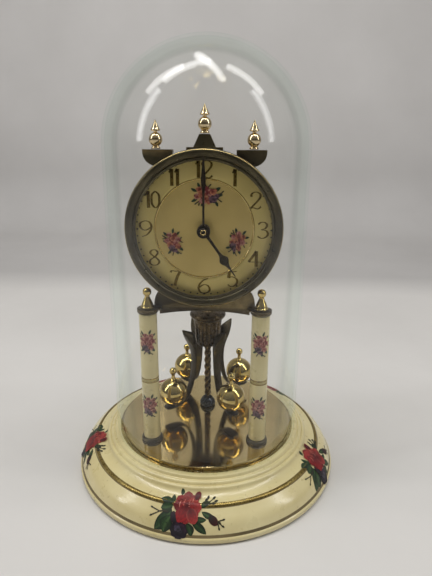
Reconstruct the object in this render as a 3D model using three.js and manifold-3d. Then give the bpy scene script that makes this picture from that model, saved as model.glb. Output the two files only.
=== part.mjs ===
// A 400-day anniversary clock: a torsion-pendulum clock on a round base under a glass dome.
// Millimetres, +Z up, origin at the middle of the underside, front towards -Y.
import * as THREE from 'three';
import { mergeVertices } from 'three/addons/utils/BufferGeometryUtils.js';
import Module from 'manifold-3d';

const wasm = await Module();
wasm.setup();

// ---- driving dimensions -------------------------------------------------------------------
const GAP = 0.3; // between pieces that rest on each other
const BASE = { rim: 100, underside: 1.2, seatTop: 29.4, ledgeTop: 28.2, ledgeInner: 60, seatInner: 66.4 };
const FLOOR = { radius: 66, bottom: 28.5, top: 32 };
const DOME = { radius: 70, wall: 2, bottom: 29.7, shoulder: 237.7 };
const COLUMN = { x: 38.5, y: -33.6, radius: 6.15, bore: 3, collar: 7.6, cap: 7.2, rod: 2.2, hole: 2.6 };
const COLUMN_Z = { collar: 32.3, tube: 35.2, cap: 131, lug: 132.7, lugTop: 134.3, finial: 134.6 };
const BRIDGE = {
  front: -30, apron: 2.2, back: 6, foot: 128.8, floor: 141.5, top: 144, crest: 147,
  halfWidth: 30.9, shoulder: 34.4, lug: 7.2,
};
const DIAL = { z: 188.4, radius: 48.9, front: -34.4, back: -33.4, hole: 3.4 };
const BEZEL = { radius: 50.2, lip: 43.1, undercut: 47.4, seat: 49.2, front: -42, lipFront: -40.5, back: -30.5 };
const PLATE = { halfWidth: 31, bottom: 144.3, top: 226.4, thickness: 2, front: -27, back: 1 };
const GALLERY = { front: -29.4, back: -27.4, axis: -26, shelf: 235.3, shelfTop: 237.5 };
const PENDULUM = { y: 16, ring: 32.4, ballRadius: 11, ballZ: 53.6, firstAzimuth: 36.5 };
const SPRING = { bottom: 124.6, top: 228.2 };

// Arbors, as x and z measured from the centre arbor.
const CENTRE = { x: 0, z: 0 };
const BARREL = { x: 9.3, z: -19.94 };
const INTERMEDIATE = { x: -12.12, z: -13.58 };
const THIRD = { x: 10.01, z: 14.35 };
const ESCAPE = { x: 0, z: 17.5 };
const ANCHOR = { x: 0, z: 27.7 };
const MINUTE_POST = { x: -8.485, z: -8.485 };
const ARBOR = 0.9;
const ARBOR_HOLE = 1.15;
const WINDING = { arbor: 2.5, hole: 2.8, square: 3.5 };
const RATCHET = { teeth: 24, tip: 8, root: 6.9, front: 3.4, back: 4.8 };
const CLICK = { distance: 12.4, direction: 54, post: 1.3, hole: 1.6, noseRadius: 7.4, nose: 87 };
const HANDS = { hour: 145, hourY: -40.4, hourThick: 0.8, minuteY: -42.7, minuteThick: 0.7, nutBack: -43.4 };
const LOCK = { pivotY: 56, post: 2, hole: 2.3, bottom: 4, top: 5.2, lift: 2, turn: 25, stemFoot: 6 };

// ---- colours ------------------------------------------------------------------------------
const paint = (color, roughness, metalness) => new THREE.MeshStandardMaterial({ color, roughness, metalness });
const CREAM = paint(0xe6ddb4, 0.25, 0);
const BRASS = paint(0xcfa650, 0.18, 1);
const WORK_BRASS = paint(0xb9985a, 0.4, 1);
const BRONZE = paint(0x453b2d, 0.45, 0.7);
const STEEL = paint(0x8f9194, 0.35, 1);
const BLACK = paint(0x15130f, 0.5, 0.2);
const FELT = paint(0x2c2a26, 0.95, 0);
const GLASS = paint(0xdfeae6, 0.03, 0);
GLASS.transparent = true;
GLASS.opacity = 0.25;

// ---- geometry helpers ---------------------------------------------------------------------
const degrees = THREE.MathUtils.degToRad;

/** The geometry with shared vertices, no collapsed faces, and faces pointing out. */
function closed(source) {
  const bare = source.clone();
  bare.deleteAttribute('normal');
  bare.deleteAttribute('uv');
  const merged = mergeVertices(bare, 1e-4);
  const at = merged.attributes.position;
  const corner = (i) => new THREE.Vector3().fromBufferAttribute(at, i);
  const index = [...merged.index.array];
  const faces = [];
  let volume = 0;
  for (let i = 0; i < index.length; i += 3) {
    const [a, b, c] = index.slice(i, i + 3);
    if (a === b || b === c || c === a) continue;
    faces.push([a, b, c]);
    volume += corner(a).dot(corner(b).cross(corner(c)));
  }
  merged.setIndex(faces.flatMap(([a, b, c]) => (volume < 0 ? [a, c, b] : [a, b, c])));
  return merged;
}

function solid(geometry) {
  const merged = closed(geometry);
  const vertProperties = new Float32Array(merged.attributes.position.array);
  const triVerts = new Uint32Array(merged.index.array);
  return new wasm.Manifold(new wasm.Mesh({ numProp: 3, vertProperties, triVerts }));
}

function geometryOf(manifold) {
  const mesh = manifold.getMesh();
  const geometry = new THREE.BufferGeometry();
  geometry.setAttribute('position', new THREE.BufferAttribute(mesh.vertProperties, 3));
  geometry.setIndex([...mesh.triVerts]);
  return geometry;
}

const join = (first, ...rest) => geometryOf(rest.reduce((sum, piece) => sum.add(solid(piece)), solid(first)));
const cut = (body, ...tools) => geometryOf(tools.reduce((sum, tool) => sum.subtract(solid(tool)), solid(body)));

/** A solid of revolution about Z from [radius, z] points that start and end on the axis or close. */
function turned(points, segments = 24) {
  const profile = points.map(([r, z]) => new THREE.Vector2(r, z));
  return closed(new THREE.LatheGeometry(profile, segments).rotateX(Math.PI / 2));
}

/** The same about the Y axis, from [radius, y] points. */
function turnedAboutY(points, segments = 24) {
  const profile = points.map(([r, y]) => new THREE.Vector2(r, y));
  return closed(new THREE.LatheGeometry(profile, segments));
}

const ring = (inner, outer, low, high) => [[inner, low], [outer, low], [outer, high], [inner, high], [inner, low]];
const disc = (radius, low, high) => [[0, low], [radius, low], [radius, high], [0, high]];
const washer = (inner, outer, low, high, segments) => turned(ring(inner, outer, low, high), segments);
const rod = (radius, low, high, segments = 12) => turned(disc(radius, low, high), segments);
const shaft = (radius, front, back, segments = 12) => turnedAboutY(disc(radius, front, back), segments);
const collarY = (inner, outer, front, back, segments) => turnedAboutY(ring(inner, outer, front, back), segments);

function block(x, y, z) {
  const size = [x, y, z].map(([low, high]) => high - low);
  const middle = [x, y, z].map(([low, high]) => (low + high) / 2);
  return new THREE.BoxGeometry(...size).translate(...middle);
}

/** A flat plate standing in the XZ plane, from front to back in y. */
function plate(shape, front, back, curveSegments = 12) {
  const flat = new THREE.ExtrudeGeometry(shape, { depth: back - front, bevelEnabled: false, curveSegments });
  return closed(flat.rotateX(Math.PI / 2).translate(0, back, 0));
}

function outline(points) {
  return new THREE.Shape(points.map(([x, z]) => new THREE.Vector2(x, z)));
}

const place = (geometry, arbor) => geometry.translate(arbor.x, 0, DIAL.z + arbor.z);

// ---- gears --------------------------------------------------------------------------------
const WHEEL = { addendum: 0.9, dedendum: 1.8, tip: 0.55, root: 0 };
const PINION = { addendum: 0.8, dedendum: 1.15, tip: 0.5, root: 1.05 };

/** Outline of a gear with a tooth centred at the phase angle: wheels have V gaps, pinions flat ones. */
function gearOutline(teeth, module, phase, form) {
  const pitch = teeth * module / 2;
  const tip = pitch + form.addendum * module;
  const root = pitch - form.dedendum * module;
  const halfTip = form.tip * module / 2 / tip;
  const halfRoot = form.root * module / 2 / root;
  const points = [];
  for (let i = 0; i < teeth; i += 1) {
    const middle = phase + i * 2 * Math.PI / teeth;
    const vee = [root, -Math.PI / teeth];
    const crest = [[tip, -halfTip], [tip, halfTip]];
    const corners = form.root ? [[root, -halfRoot], ...crest, [root, halfRoot]] : [vee, ...crest];
    for (const [r, turn] of corners) points.push([r * Math.cos(middle + turn), r * Math.sin(middle + turn)]);
  }
  return points;
}

const gear = (teeth, module, phase, form, front, back) =>
  plate(outline(gearOutline(teeth, module, phase, form)), front, back);

/** Phase that puts a driven gear in mesh with a gear of known teeth and phase. */
function meshPhase(teeth, phase, from, to, drivenTeeth) {
  const line = Math.atan2(to.z - from.z, to.x - from.x);
  const pitch = 2 * Math.PI / teeth;
  const offset = ((line - phase) / pitch) % 1;
  return line + Math.PI + (offset + 0.5) * 2 * Math.PI / drivenTeeth;
}

const TEETH = {
  barrel: 54, intermediatePinion: 9, intermediate: 54, centrePinion: 9, centre: 48, thirdPinion: 8,
  third: 30, escapePinion: 12, escape: 16, cannon: 12, minute: 36, minutePinion: 10, hour: 40,
};
const MODULE = { barrel: 0.708, intermediate: 0.578, centre: 0.625, third: 0.5, cannon: 0.5, hour: 0.48 };
const PHASE = {};
PHASE.intermediatePinion = meshPhase(TEETH.barrel, 0, BARREL, INTERMEDIATE, TEETH.intermediatePinion);
PHASE.centrePinion = meshPhase(TEETH.intermediate, 0, INTERMEDIATE, CENTRE, TEETH.centrePinion);
PHASE.thirdPinion = meshPhase(TEETH.centre, 0, CENTRE, THIRD, TEETH.thirdPinion);
PHASE.escapePinion = meshPhase(TEETH.third, 0, THIRD, ESCAPE, TEETH.escapePinion);
PHASE.minute = meshPhase(TEETH.cannon, 0, CENTRE, MINUTE_POST, TEETH.minute);
PHASE.hour = meshPhase(TEETH.minutePinion, 0, MINUTE_POST, CENTRE, TEETH.hour);

// ---- the assembly -------------------------------------------------------------------------
const clock = new THREE.Group();

function add(name, geometry, material) {
  const mesh = new THREE.Mesh(geometry, material);
  mesh.name = name;
  clock.add(mesh);
  return mesh;
}

// ---- base ---------------------------------------------------------------------------------
function baseShell() {
  const inner = BASE.seatInner;
  const shell = turned([
    [84, BASE.underside], [BASE.rim, BASE.underside], [BASE.rim, 5.6], [98.2, 7], [95, 12.4], [88, 19],
    [77.6, 24.8], [71.5, BASE.seatTop], [inner, BASE.seatTop], [inner, BASE.ledgeTop],
    [BASE.ledgeInner, BASE.ledgeTop], [BASE.ledgeInner, 26.8], [71, 26.8], [84.6, 19.4], [92.6, 11.6],
    [97.4, 4.6], [97.4, 2.4], [84, 2.4], [84, BASE.underside],
  ], 40);
  const leverSlot = block([-17, 17], [90, 101], [3.2, 6.2]);
  return cut(shell, leverSlot);
}

function floorPlate() {
  const disk = rod(FLOOR.radius, FLOOR.bottom, FLOOR.top, 40);
  const rodHole = (side) => rod(COLUMN.hole, 20, 40).translate(side * COLUMN.x, COLUMN.y, 0);
  const stemHole = rod(2.6, 20, 40).translate(0, PENDULUM.y, 0);
  const pivot = rod(LOCK.post, 3.2, FLOOR.bottom + 1).translate(0, LOCK.pivotY, 0);
  return join(cut(disk, rodHole(-1), rodHole(1), stemHole), pivot);
}

/** A blade on a post below the floor, with a ramp that lifts the cup's stem as it swings. */
function lockLever() {
  const reach = LOCK.pivotY - PENDULUM.y;
  const swing = degrees(LOCK.turn);
  const at = (radius, turn) => [radius * Math.sin(turn), -radius * Math.cos(turn)];
  const blade = (width, inner, outer, turn) => {
    const shape = outline([[-width, -inner], [width, -inner], [width, -outer], [-width, -outer]]);
    const flat = new THREE.ExtrudeGeometry(shape, { depth: LOCK.top - LOCK.bottom, bevelEnabled: false });
    return flat.rotateZ(turn).translate(0, 0, LOCK.bottom);
  };
  const ramp = new THREE.BufferGeometry();
  const steps = [0, swing].map((turn) => [at(reach - 3, turn), at(reach + 3, turn)]);
  const base = LOCK.top - 0.4;
  const low = steps.flat().map(([x, y]) => [x, y, base]);
  const high = steps.flat().map(([x, y], i) => [x, y, LOCK.top + (i < 2 ? 0.05 : LOCK.lift)]);
  ramp.setAttribute('position', new THREE.Float32BufferAttribute([...low, ...high].flat(), 3));
  ramp.setIndex([
    0, 2, 1, 1, 2, 3, 4, 5, 6, 5, 7, 6, 0, 1, 4, 1, 5, 4, 2, 6, 3, 3, 6, 7, 0, 4, 2, 2, 4, 6, 1, 3, 5, 3, 7, 5,
  ]);
  const hub = rod(6, LOCK.bottom, LOCK.top, 16);
  const arm = blade(3, 0, reach + 2, swing / 2);
  const foot = blade(9.6, reach - 3.4, reach + 3.4, swing / 2);
  const tail = blade(3.4, 0, 43, Math.PI - swing / 2);
  const lever = join(hub, arm, foot, ramp, tail);
  return cut(lever, rod(LOCK.hole, 0, 20)).translate(0, LOCK.pivotY, 0);
}

function lockCup() {
  const cup = turned([
    [0, LOCK.stemFoot], [2.2, LOCK.stemFoot], [2.2, 32.4], [5.8, 32.4], [6.4, 33.3], [6.1, 35.2], [4.9, 37.5],
    [3.6, 38.8], [3.2, 38.8], [3.2, 34], [0, 34],
  ], 20);
  return cup.translate(0, PENDULUM.y, 0);
}

add('base_shell', baseShell(), CREAM);
add('felt_ring', washer(85, 96, 0, BASE.underside - 0.2, 32), FELT);
add('floor_plate', floorPlate(), BRASS);
add('lock_lever', lockLever(), STEEL);
add('lock_cup', lockCup(), BRONZE);

// ---- columns ------------------------------------------------------------------------------
function tieRod() {
  const base = COLUMN_Z.finial;
  return turned([
    [0, FLOOR.bottom + GAP], [COLUMN.rod, FLOOR.bottom + GAP], [COLUMN.rod, base], [4.7, base], [4.8, base + 0.9],
    [4.1, base + 1.7], [3.9, base + 2.3], [1.6, base + 8.2], [2.6, base + 9.6], [3, base + 11.1],
    [2.6, base + 12.6], [1.4, base + 13.8], [0, base + 14.1],
  ], 12);
}

for (const [side, name] of [[-1, 'left'], [1, 'right']]) {
  const stand = (geometry) => geometry.translate(side * COLUMN.x, COLUMN.y, 0);
  const collarTop = COLUMN_Z.tube - GAP;
  const collar = turned([
    [COLUMN.hole, COLUMN_Z.collar], [COLUMN.collar, COLUMN_Z.collar], [COLUMN.collar, collarTop - 1], [7, collarTop],
    [COLUMN.hole, collarTop], [COLUMN.hole, COLUMN_Z.collar],
  ], 20);
  const capTop = COLUMN_Z.lug - GAP;
  const cap = turned([
    [COLUMN.hole, COLUMN_Z.cap], [6.4, COLUMN_Z.cap], [COLUMN.cap, capTop - 0.4], [COLUMN.cap, capTop],
    [COLUMN.hole, capTop], [COLUMN.hole, COLUMN_Z.cap],
  ], 20);
  add(`column_collar_${name}`, stand(collar), BRONZE);
  add(`column_tube_${name}`, stand(washer(COLUMN.bore, COLUMN.radius, COLUMN_Z.tube, COLUMN_Z.cap - GAP, 20)), CREAM);
  add(`column_cap_${name}`, stand(cap), BRONZE);
  add(`column_tie_rod_${name}`, stand(tieRod()), BRASS);
}

// ---- bridge -------------------------------------------------------------------------------
function bridge() {
  const { halfWidth, shoulder, front, apron, back, foot, crest } = BRIDGE;
  const { lug: lugFoot, lugTop } = COLUMN_Z;
  const shape = new THREE.Shape();
  shape.moveTo(-halfWidth, foot);
  shape.quadraticCurveTo(0, foot + 5.4, halfWidth, foot);
  shape.lineTo(halfWidth, lugFoot + 0.7);
  shape.lineTo(shoulder, lugFoot + 0.9);
  shape.lineTo(shoulder, lugTop + 2.1);
  shape.quadraticCurveTo(shoulder - 0.8, crest - 0.6, 27, crest);
  shape.lineTo(-27, crest);
  shape.quadraticCurveTo(0.8 - shoulder, crest - 0.6, -shoulder, lugTop + 2.1);
  shape.lineTo(-shoulder, lugFoot + 0.9);
  shape.lineTo(-halfWidth, lugFoot + 0.7);
  const wall = plate(shape, front, front + apron, 6);
  const platform = block([-31, 31], [front + 1, back], [BRIDGE.floor, BRIDGE.top]);
  const lug = (side) => rod(BRIDGE.lug, lugFoot, lugTop, 24).translate(side * COLUMN.x, COLUMN.y, 0);
  const web = (side) => block([Math.min(side * 29.5, side * COLUMN.x), Math.max(side * 29.5, side * COLUMN.x)],
    [COLUMN.y - 1, front + apron], [lugFoot, lugTop]);
  const hole = (side) => rod(COLUMN.hole, 120, 150).translate(side * COLUMN.x, COLUMN.y, 0);
  return cut(join(wall, platform, lug(-1), lug(1), web(-1), web(1)), hole(-1), hole(1));
}

add('bridge', bridge(), BRONZE);

// ---- movement plates ----------------------------------------------------------------------
function plateShape() {
  const { halfWidth, bottom, top } = PLATE;
  return outline([
    [-26, bottom], [26, bottom], [halfWidth, 156], [halfWidth, top - 5], [halfWidth - 5, top],
    [5 - halfWidth, top], [-halfWidth, top - 5], [-halfWidth, 156],
  ]);
}

function drilledPlate(front, windingHole) {
  const back = front + PLATE.thickness;
  const hole = (arbor, radius) => place(shaft(radius, front - 1, back + 1), arbor);
  const pivots = [INTERMEDIATE, THIRD, ESCAPE, ANCHOR, CENTRE].map((arbor) => hole(arbor, ARBOR_HOLE));
  return cut(plate(plateShape(), front, back), ...pivots, hole(BARREL, windingHole));
}

const clickPost = {
  x: BARREL.x + CLICK.distance * Math.cos(degrees(CLICK.direction)),
  z: BARREL.z + CLICK.distance * Math.sin(degrees(CLICK.direction)),
};

const minutePost = place(shaft(1, -32.2, PLATE.front + 1), MINUTE_POST);
add('front_plate', join(drilledPlate(PLATE.front, WINDING.hole), minutePost), WORK_BRASS);
const clickStud = place(shaft(CLICK.post, PLATE.back + 1, 5.4), clickPost);
add('back_plate', join(drilledPlate(PLATE.back, WINDING.hole), clickStud), WORK_BRASS);

const PILLARS = [[-25.5, 151], [25.5, 151], [-26.5, 220.5], [26.5, 220.5]];
PILLARS.forEach(([x, z], i) => {
  const front = PLATE.front + PLATE.thickness + GAP;
  const back = PLATE.back - GAP;
  const pillar = turnedAboutY([
    [0, front], [3, front], [3, front + 2], [2.2, front + 3], [2.2, back - 3], [3, back - 2], [3, back], [0, back],
  ], 12);
  add(`pillar_${i + 1}`, pillar.translate(x, 0, z), WORK_BRASS);
});

// ---- going train --------------------------------------------------------------------------
const FRONT_PIVOT = PLATE.front + 0.4;
const BACK_PIVOT = PLATE.back + 1.4;
const arbor = () => shaft(ARBOR, FRONT_PIVOT, BACK_PIVOT, 10);

/** A wheel crossed out with four spokes, with its bore left solid for the arbor. */
function spokedWheel(teeth, module, phase, front, back, hub) {
  const whole = gear(teeth, module, phase, WHEEL, front, back);
  const outer = teeth * module / 2 - 3 * module - 0.6;
  const windows = [0, 1, 2, 3].map((quarter) => {
    const shape = new THREE.Shape();
    const spoke = 0.7;
    const start = Math.asin(spoke / outer);
    const end = Math.asin(spoke / hub);
    shape.absarc(0, 0, outer, start, Math.PI / 2 - start, false);
    shape.absarc(0, 0, hub, Math.PI / 2 - end, end, true);
    const window = plate(shape, front - 1, back + 1, 4);
    return window.rotateY(quarter * Math.PI / 2);
  });
  return cut(whole, ...windows);
}

function barrel() {
  const toothed = gear(TEETH.barrel, MODULE.barrel, 0, WHEEL, -21.6, -19.6);
  const wall = collarY(17.1, 18.3, -19.9, -4.2, 30);
  const bore = shaft(2.85, -30, 0);
  return place(cut(join(toothed, wall), bore), BARREL);
}

/** A flat strip wound in a spiral about Y. */
function mainspring() {
  const turns = 4;
  const steps = 12 * turns;
  const inner = 5.4;
  const outer = 16.2;
  const thickness = 0.5;
  const at = (share, offset) => {
    const angle = share * turns * 2 * Math.PI;
    const radius = inner + (outer - inner) * share + offset;
    return [radius * Math.cos(angle), radius * Math.sin(angle)];
  };
  const along = Array.from({ length: steps + 1 }, (_, i) => i / steps);
  const points = [...along.map((s) => at(s, thickness)), ...along.reverse().map((s) => at(s, 0))];
  return place(plate(outline(points), -18.4, -6.2), BARREL);
}

function windingArbor() {
  const half = WINDING.square / 2;
  const arborBody = shaft(WINDING.arbor, FRONT_PIVOT, 7, 16);
  const core = shaft(4.6, -18.4, -6.2, 16);
  const square = block([-half, half], [6, 13], [-half, half]);
  return place(join(arborBody, core, square), BARREL);
}

function ratchetWheel() {
  const points = [];
  for (let i = 0; i < RATCHET.teeth; i += 1) {
    const start = i * 2 * Math.PI / RATCHET.teeth;
    const end = start + 1.9 * Math.PI / RATCHET.teeth;
    points.push([RATCHET.tip * Math.cos(start), RATCHET.tip * Math.sin(start)]);
    points.push([RATCHET.root * Math.cos(end), RATCHET.root * Math.sin(end)]);
  }
  const wheel = plate(outline(points), RATCHET.front, RATCHET.back);
  return place(cut(wheel, shaft(WINDING.hole, 0, 10, 16)), BARREL);
}

/** A pawl on the click post whose nose lies in front of a ratchet tooth's steep face. */
function click() {
  const polar = (radius, angle) => new THREE.Vector2(radius, 0).rotateAround(new THREE.Vector2(), degrees(angle));
  const nose = polar(CLICK.noseRadius, CLICK.nose);
  const hub = polar(CLICK.distance, CLICK.direction);
  const length = hub.distanceTo(nose);
  const along = hub.clone().sub(nose).normalize();
  const outward = new THREE.Vector2(-along.y, along.x);
  const profile = [
    [0, 0], [1.8, -0.1], [length - 2.5, -0.9], [length, -1.2], [length, 1.2], [length - 2, 1.8], [1.6, 1.3], [0.1, 0.4],
  ];
  const points = profile.map(([s, t]) => nose.clone().addScaledVector(along, s).addScaledVector(outward, t));
  const arm = plate(new THREE.Shape(points), RATCHET.front, RATCHET.back);
  const at = (geometry) => geometry.translate(hub.x, 0, hub.y);
  const pad = at(collarY(CLICK.hole, 3, RATCHET.front, RATCHET.back, 14));
  return place(cut(join(pad, arm), at(shaft(CLICK.hole, 0, 10, 14))), BARREL);
}

function intermediateWheel() {
  const pinion = gear(TEETH.intermediatePinion, MODULE.barrel, PHASE.intermediatePinion, PINION, -21.9, -19.3);
  const wheel = spokedWheel(TEETH.intermediate, MODULE.intermediate, 0, -2.2, -1.2, 3);
  return place(join(wheel, pinion, arbor()), INTERMEDIATE);
}

function centreWheel() {
  const pinion = gear(TEETH.centrePinion, MODULE.intermediate, PHASE.centrePinion, PINION, -2.7, -0.7);
  const wheel = spokedWheel(TEETH.centre, MODULE.centre, 0, -23.8, -22.8, 3);
  const long = shaft(ARBOR, HANDS.nutBack - 1, BACK_PIVOT, 10);
  return place(join(wheel, pinion, long), CENTRE);
}

function thirdWheel() {
  const pinion = gear(TEETH.thirdPinion, MODULE.centre, PHASE.thirdPinion, PINION, -24.2, -22.3);
  const wheel = spokedWheel(TEETH.third, MODULE.third, 0, -14, -13, 2);
  return place(join(wheel, pinion, arbor()), THIRD);
}

function escapeWheel() {
  const tip = 6.5;
  const root = 4.9;
  const pitch = 2 * Math.PI / TEETH.escape;
  const points = [];
  for (let i = 0; i < TEETH.escape; i += 1) {
    const middle = Math.PI / 2 + i * pitch;
    points.push([root * Math.cos(middle - pitch * 0.2), root * Math.sin(middle - pitch * 0.2)]);
    points.push([tip * Math.cos(middle - pitch * 0.03), tip * Math.sin(middle - pitch * 0.03)]);
    points.push([tip * Math.cos(middle + pitch * 0.03), tip * Math.sin(middle + pitch * 0.03)]);
    points.push([root * Math.cos(middle + pitch * 0.2), root * Math.sin(middle + pitch * 0.2)]);
  }
  const wheel = plate(outline(points), -9, -8.2);
  const pinion = gear(TEETH.escapePinion, MODULE.third, PHASE.escapePinion, PINION, -14.5, -12.5);
  return place(join(wheel, pinion, arbor()), ESCAPE);
}

/** The anchor's arms reach down to pallets each side of the escape wheel; its pin enters the fork. */
function anchor() {
  const drop = ANCHOR.z - ESCAPE.z;
  const palletRadius = 6.85;
  const half = degrees(50.6);
  const pallet = [palletRadius * Math.sin(half), palletRadius * Math.cos(half) - drop];
  const along = Math.hypot(...pallet);
  const unit = pallet.map((v) => v / along);
  const arm = (side) => plate(outline([
    [0, 1.2], [side * 3.2, 0.9], [side * (pallet[0] + 1.3), pallet[1] + 2],
    [side * (pallet[0] + 0.9 * unit[0] + 0.5), pallet[1] + 0.6], [side * (pallet[0] + 0.05), pallet[1] + 0.05],
    [side * (pallet[0] - 0.2), pallet[1] + 1.4], [side * 2.4, -1.6], [0, -1.2],
  ]), -9.4, -7.8);
  const hub = shaft(2, -10.4, -6.8);
  const crank = shaft(1.5, 9.6, 11.3);
  const longArbor = shaft(ARBOR, FRONT_PIVOT, 11.3, 10);
  const pin = rod(0.45, 0, 8.8, 8).translate(0, 10.4, 0);
  return place(join(hub, longArbor, arm(-1), arm(1), crank, pin), ANCHOR);
}

add('mainspring_barrel', barrel(), WORK_BRASS);
add('barrel_cover', place(collarY(4.9, 16.6, -5.6, -4.6, 30), BARREL), WORK_BRASS);
add('mainspring', mainspring(), STEEL);
add('winding_arbor', windingArbor(), STEEL);
add('ratchet_wheel', ratchetWheel(), STEEL);
add('click', click(), STEEL);
add('intermediate_wheel', intermediateWheel(), WORK_BRASS);
add('centre_wheel', centreWheel(), WORK_BRASS);
add('third_wheel', thirdWheel(), WORK_BRASS);
add('escape_wheel', escapeWheel(), WORK_BRASS);
add('anchor', anchor(), STEEL);

// ---- motion work --------------------------------------------------------------------------
function cannonPinion() {
  const leaves = gear(TEETH.cannon, MODULE.cannon, 0, PINION, -29, -27.3);
  const pipe = shaft(1.6, HANDS.minuteY - GAP, -27.3, 14);
  return place(cut(join(leaves, pipe), shaft(1.2, -50, -20)), CENTRE);
}

function minuteWheel() {
  const wheel = gear(TEETH.minute, MODULE.cannon, PHASE.minute, WHEEL, -28.6, -27.7);
  const pinion = gear(TEETH.minutePinion, MODULE.hour, 0, PINION, -31.6, -28.4);
  return place(cut(join(wheel, pinion), shaft(1.3, -40, -20)), MINUTE_POST);
}

function hourWheel() {
  const wheel = gear(TEETH.hour, MODULE.hour, PHASE.hour, WHEEL, -31, -30);
  const pipe = shaft(2.6, HANDS.hourY - 0.1, -30, 18);
  return place(cut(join(wheel, pipe), shaft(1.9, -50, -20, 18)), CENTRE);
}

add('cannon_pinion', cannonPinion(), WORK_BRASS);
add('minute_wheel', minuteWheel(), WORK_BRASS);
add('hour_wheel', hourWheel(), WORK_BRASS);

// ---- dial, bezel and hands ----------------------------------------------------------------
function dial() {
  const disk = collarY(DIAL.hole, DIAL.radius, DIAL.front, DIAL.back, 36);
  const feet = [[-27, 16.6], [27, 16.6], [-27, -18.4], [27, -18.4]].map(([x, z]) =>
    shaft(1.4, DIAL.back - 0.5, PLATE.front - GAP, 8).translate(x, 0, z));
  return join(disk, ...feet).translate(0, 0, DIAL.z);
}

function bezel() {
  const { radius, lip, undercut, seat, front, lipFront, back } = BEZEL;
  const rebate = DIAL.front - GAP;
  return turnedAboutY([
    [lip, lipFront + 0.9], [lip, lipFront], [44.8, lipFront - 0.7], [48.4, front], [49.8, front + 0.4],
    [radius, front + 1.8], [radius, back], [seat, back], [seat, rebate], [undercut, rebate], [lip, lipFront + 0.9],
  ], 40).translate(0, 0, DIAL.z);
}

/** A hand pointing up, from its outline's right half as [halfWidth, distance], with a round hub. */
function hand(halfOutline, hub, hole, front, thickness) {
  const left = [...halfOutline].reverse().filter(([w]) => w > 0).map(([w, r]) => [-w, r]);
  const blade = plate(outline([...halfOutline, ...left]), front, front + thickness);
  return cut(join(blade, shaft(hub, front, front + thickness, 18)), shaft(hole, -60, 0, 18));
}

const hourOutline = [
  [1.5, 0], [1, 4], [0.9, 17.5], [1.4, 19.4], [3.1, 22.2], [2.6, 24.4], [1.2, 26.8], [0.6, 31.6], [0.3, 35.6], [0, 36],
];
const minuteOutline = [
  [1.2, 0], [0.8, 4], [0.8, 24], [1.4, 28.5], [1.5, 33], [1, 38], [0.7, 42], [0.4, 45.1], [0, 45.4],
];

function hourHand() {
  const blade = hand(hourOutline, 4.2, 2.9, HANDS.hourY, HANDS.hourThick);
  const collet = collarY(2.9, 3.9, HANDS.hourY + 0.2, DIAL.front - 0.8, 18);
  return join(blade, collet).rotateY(degrees(HANDS.hour)).translate(0, 0, DIAL.z);
}

const minuteHand = hand(minuteOutline, 4.3, 1.9, HANDS.minuteY, HANDS.minuteThick);

function handNut() {
  const back = HANDS.nutBack;
  return turnedAboutY([
    [0, back - 2.3], [1.2, back - 2.1], [2.4, back - 1.1], [2.6, back], [1.2, back], [1.2, back - 1.4], [0, back - 1.4],
  ], 16).translate(0, 0, DIAL.z);
}

add('dial', dial(), CREAM);
add('bezel', bezel(), BRONZE);
add('hour_hand', hourHand(), BLACK);
add('minute_hand', minuteHand.translate(0, 0, DIAL.z), BLACK);
add('hand_nut', handNut(), BRASS);

// ---- gallery and finials ------------------------------------------------------------------
function gallery() {
  const { front, back, axis, shelf, shelfTop } = GALLERY;
  const shape = new THREE.Shape();
  shape.moveTo(-22, 214);
  shape.lineTo(22, 214);
  shape.lineTo(31, 227.2);
  shape.quadraticCurveTo(38.4, 229, 39, shelf);
  shape.lineTo(39, shelfTop);
  shape.lineTo(20, shelfTop);
  shape.lineTo(20, 232);
  shape.lineTo(-20, 232);
  shape.lineTo(-20, shelfTop);
  shape.lineTo(-39, shelfTop);
  shape.lineTo(-39, shelf);
  shape.quadraticCurveTo(-38.4, 229, -31, 227.2);
  const wall = plate(shape, front, back, 6);
  const depth = [front, 2 * axis - front];
  const shelfAt = (side) => block([side * 29.5 - 9.5, side * 29.5 + 9.5], depth, [shelf, shelfTop]);
  const middle = block([-11.5, 11.5], depth, [237, 239]);
  const tongue = block([-9, 9], [front, back], [230, 238]);
  const pedestal = new THREE.CylinderGeometry(3.4 * Math.SQRT2, 7.1 * Math.SQRT2, 8, 4).rotateX(Math.PI / 2);
  pedestal.rotateZ(Math.PI / 4).scale(1, 0.46, 1).translate(0, axis, 242.9);
  return join(wall, shelfAt(-1), shelfAt(1), middle, tongue, pedestal);
}

/** A turned finial standing at foot: a ring, a ball, a collar and a hollow-sided spire. */
function finial(foot) {
  return turned([
    [0, 0], [2.9, 0], [3, 0.9], [2.2, 1.9], [3.4, 2.9], [4.2, 4.7], [4.3, 5.7], [3.9, 7.7], [2.6, 9.3],
    [1.2, 10], [1.3, 10.6], [3.1, 11.1], [2.9, 11.8], [2, 13.6], [1.1, 15.6], [0.4, 17.2], [0, 17.5],
  ].map(([r, z]) => [r, foot + z]), 14).translate(0, GALLERY.axis, 0);
}

add('gallery_plate', gallery(), BRONZE);
add('finial_centre', finial(247.2), BRASS);
add('finial_left', finial(237.8).translate(-30.8, 0, 0), BRASS);
add('finial_right', finial(237.8).translate(30.8, 0, 0), BRASS);

// ---- suspension ---------------------------------------------------------------------------
function saddle() {
  const legs = [-1, 1].map((side) => block([side * 8 - 2, side * 8 + 2], [3.3, 5.3], [212, 234]));
  const arm = block([-10, 10], [3.3, 20], [233.5, 236]);
  return join(arm, ...legs);
}

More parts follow.
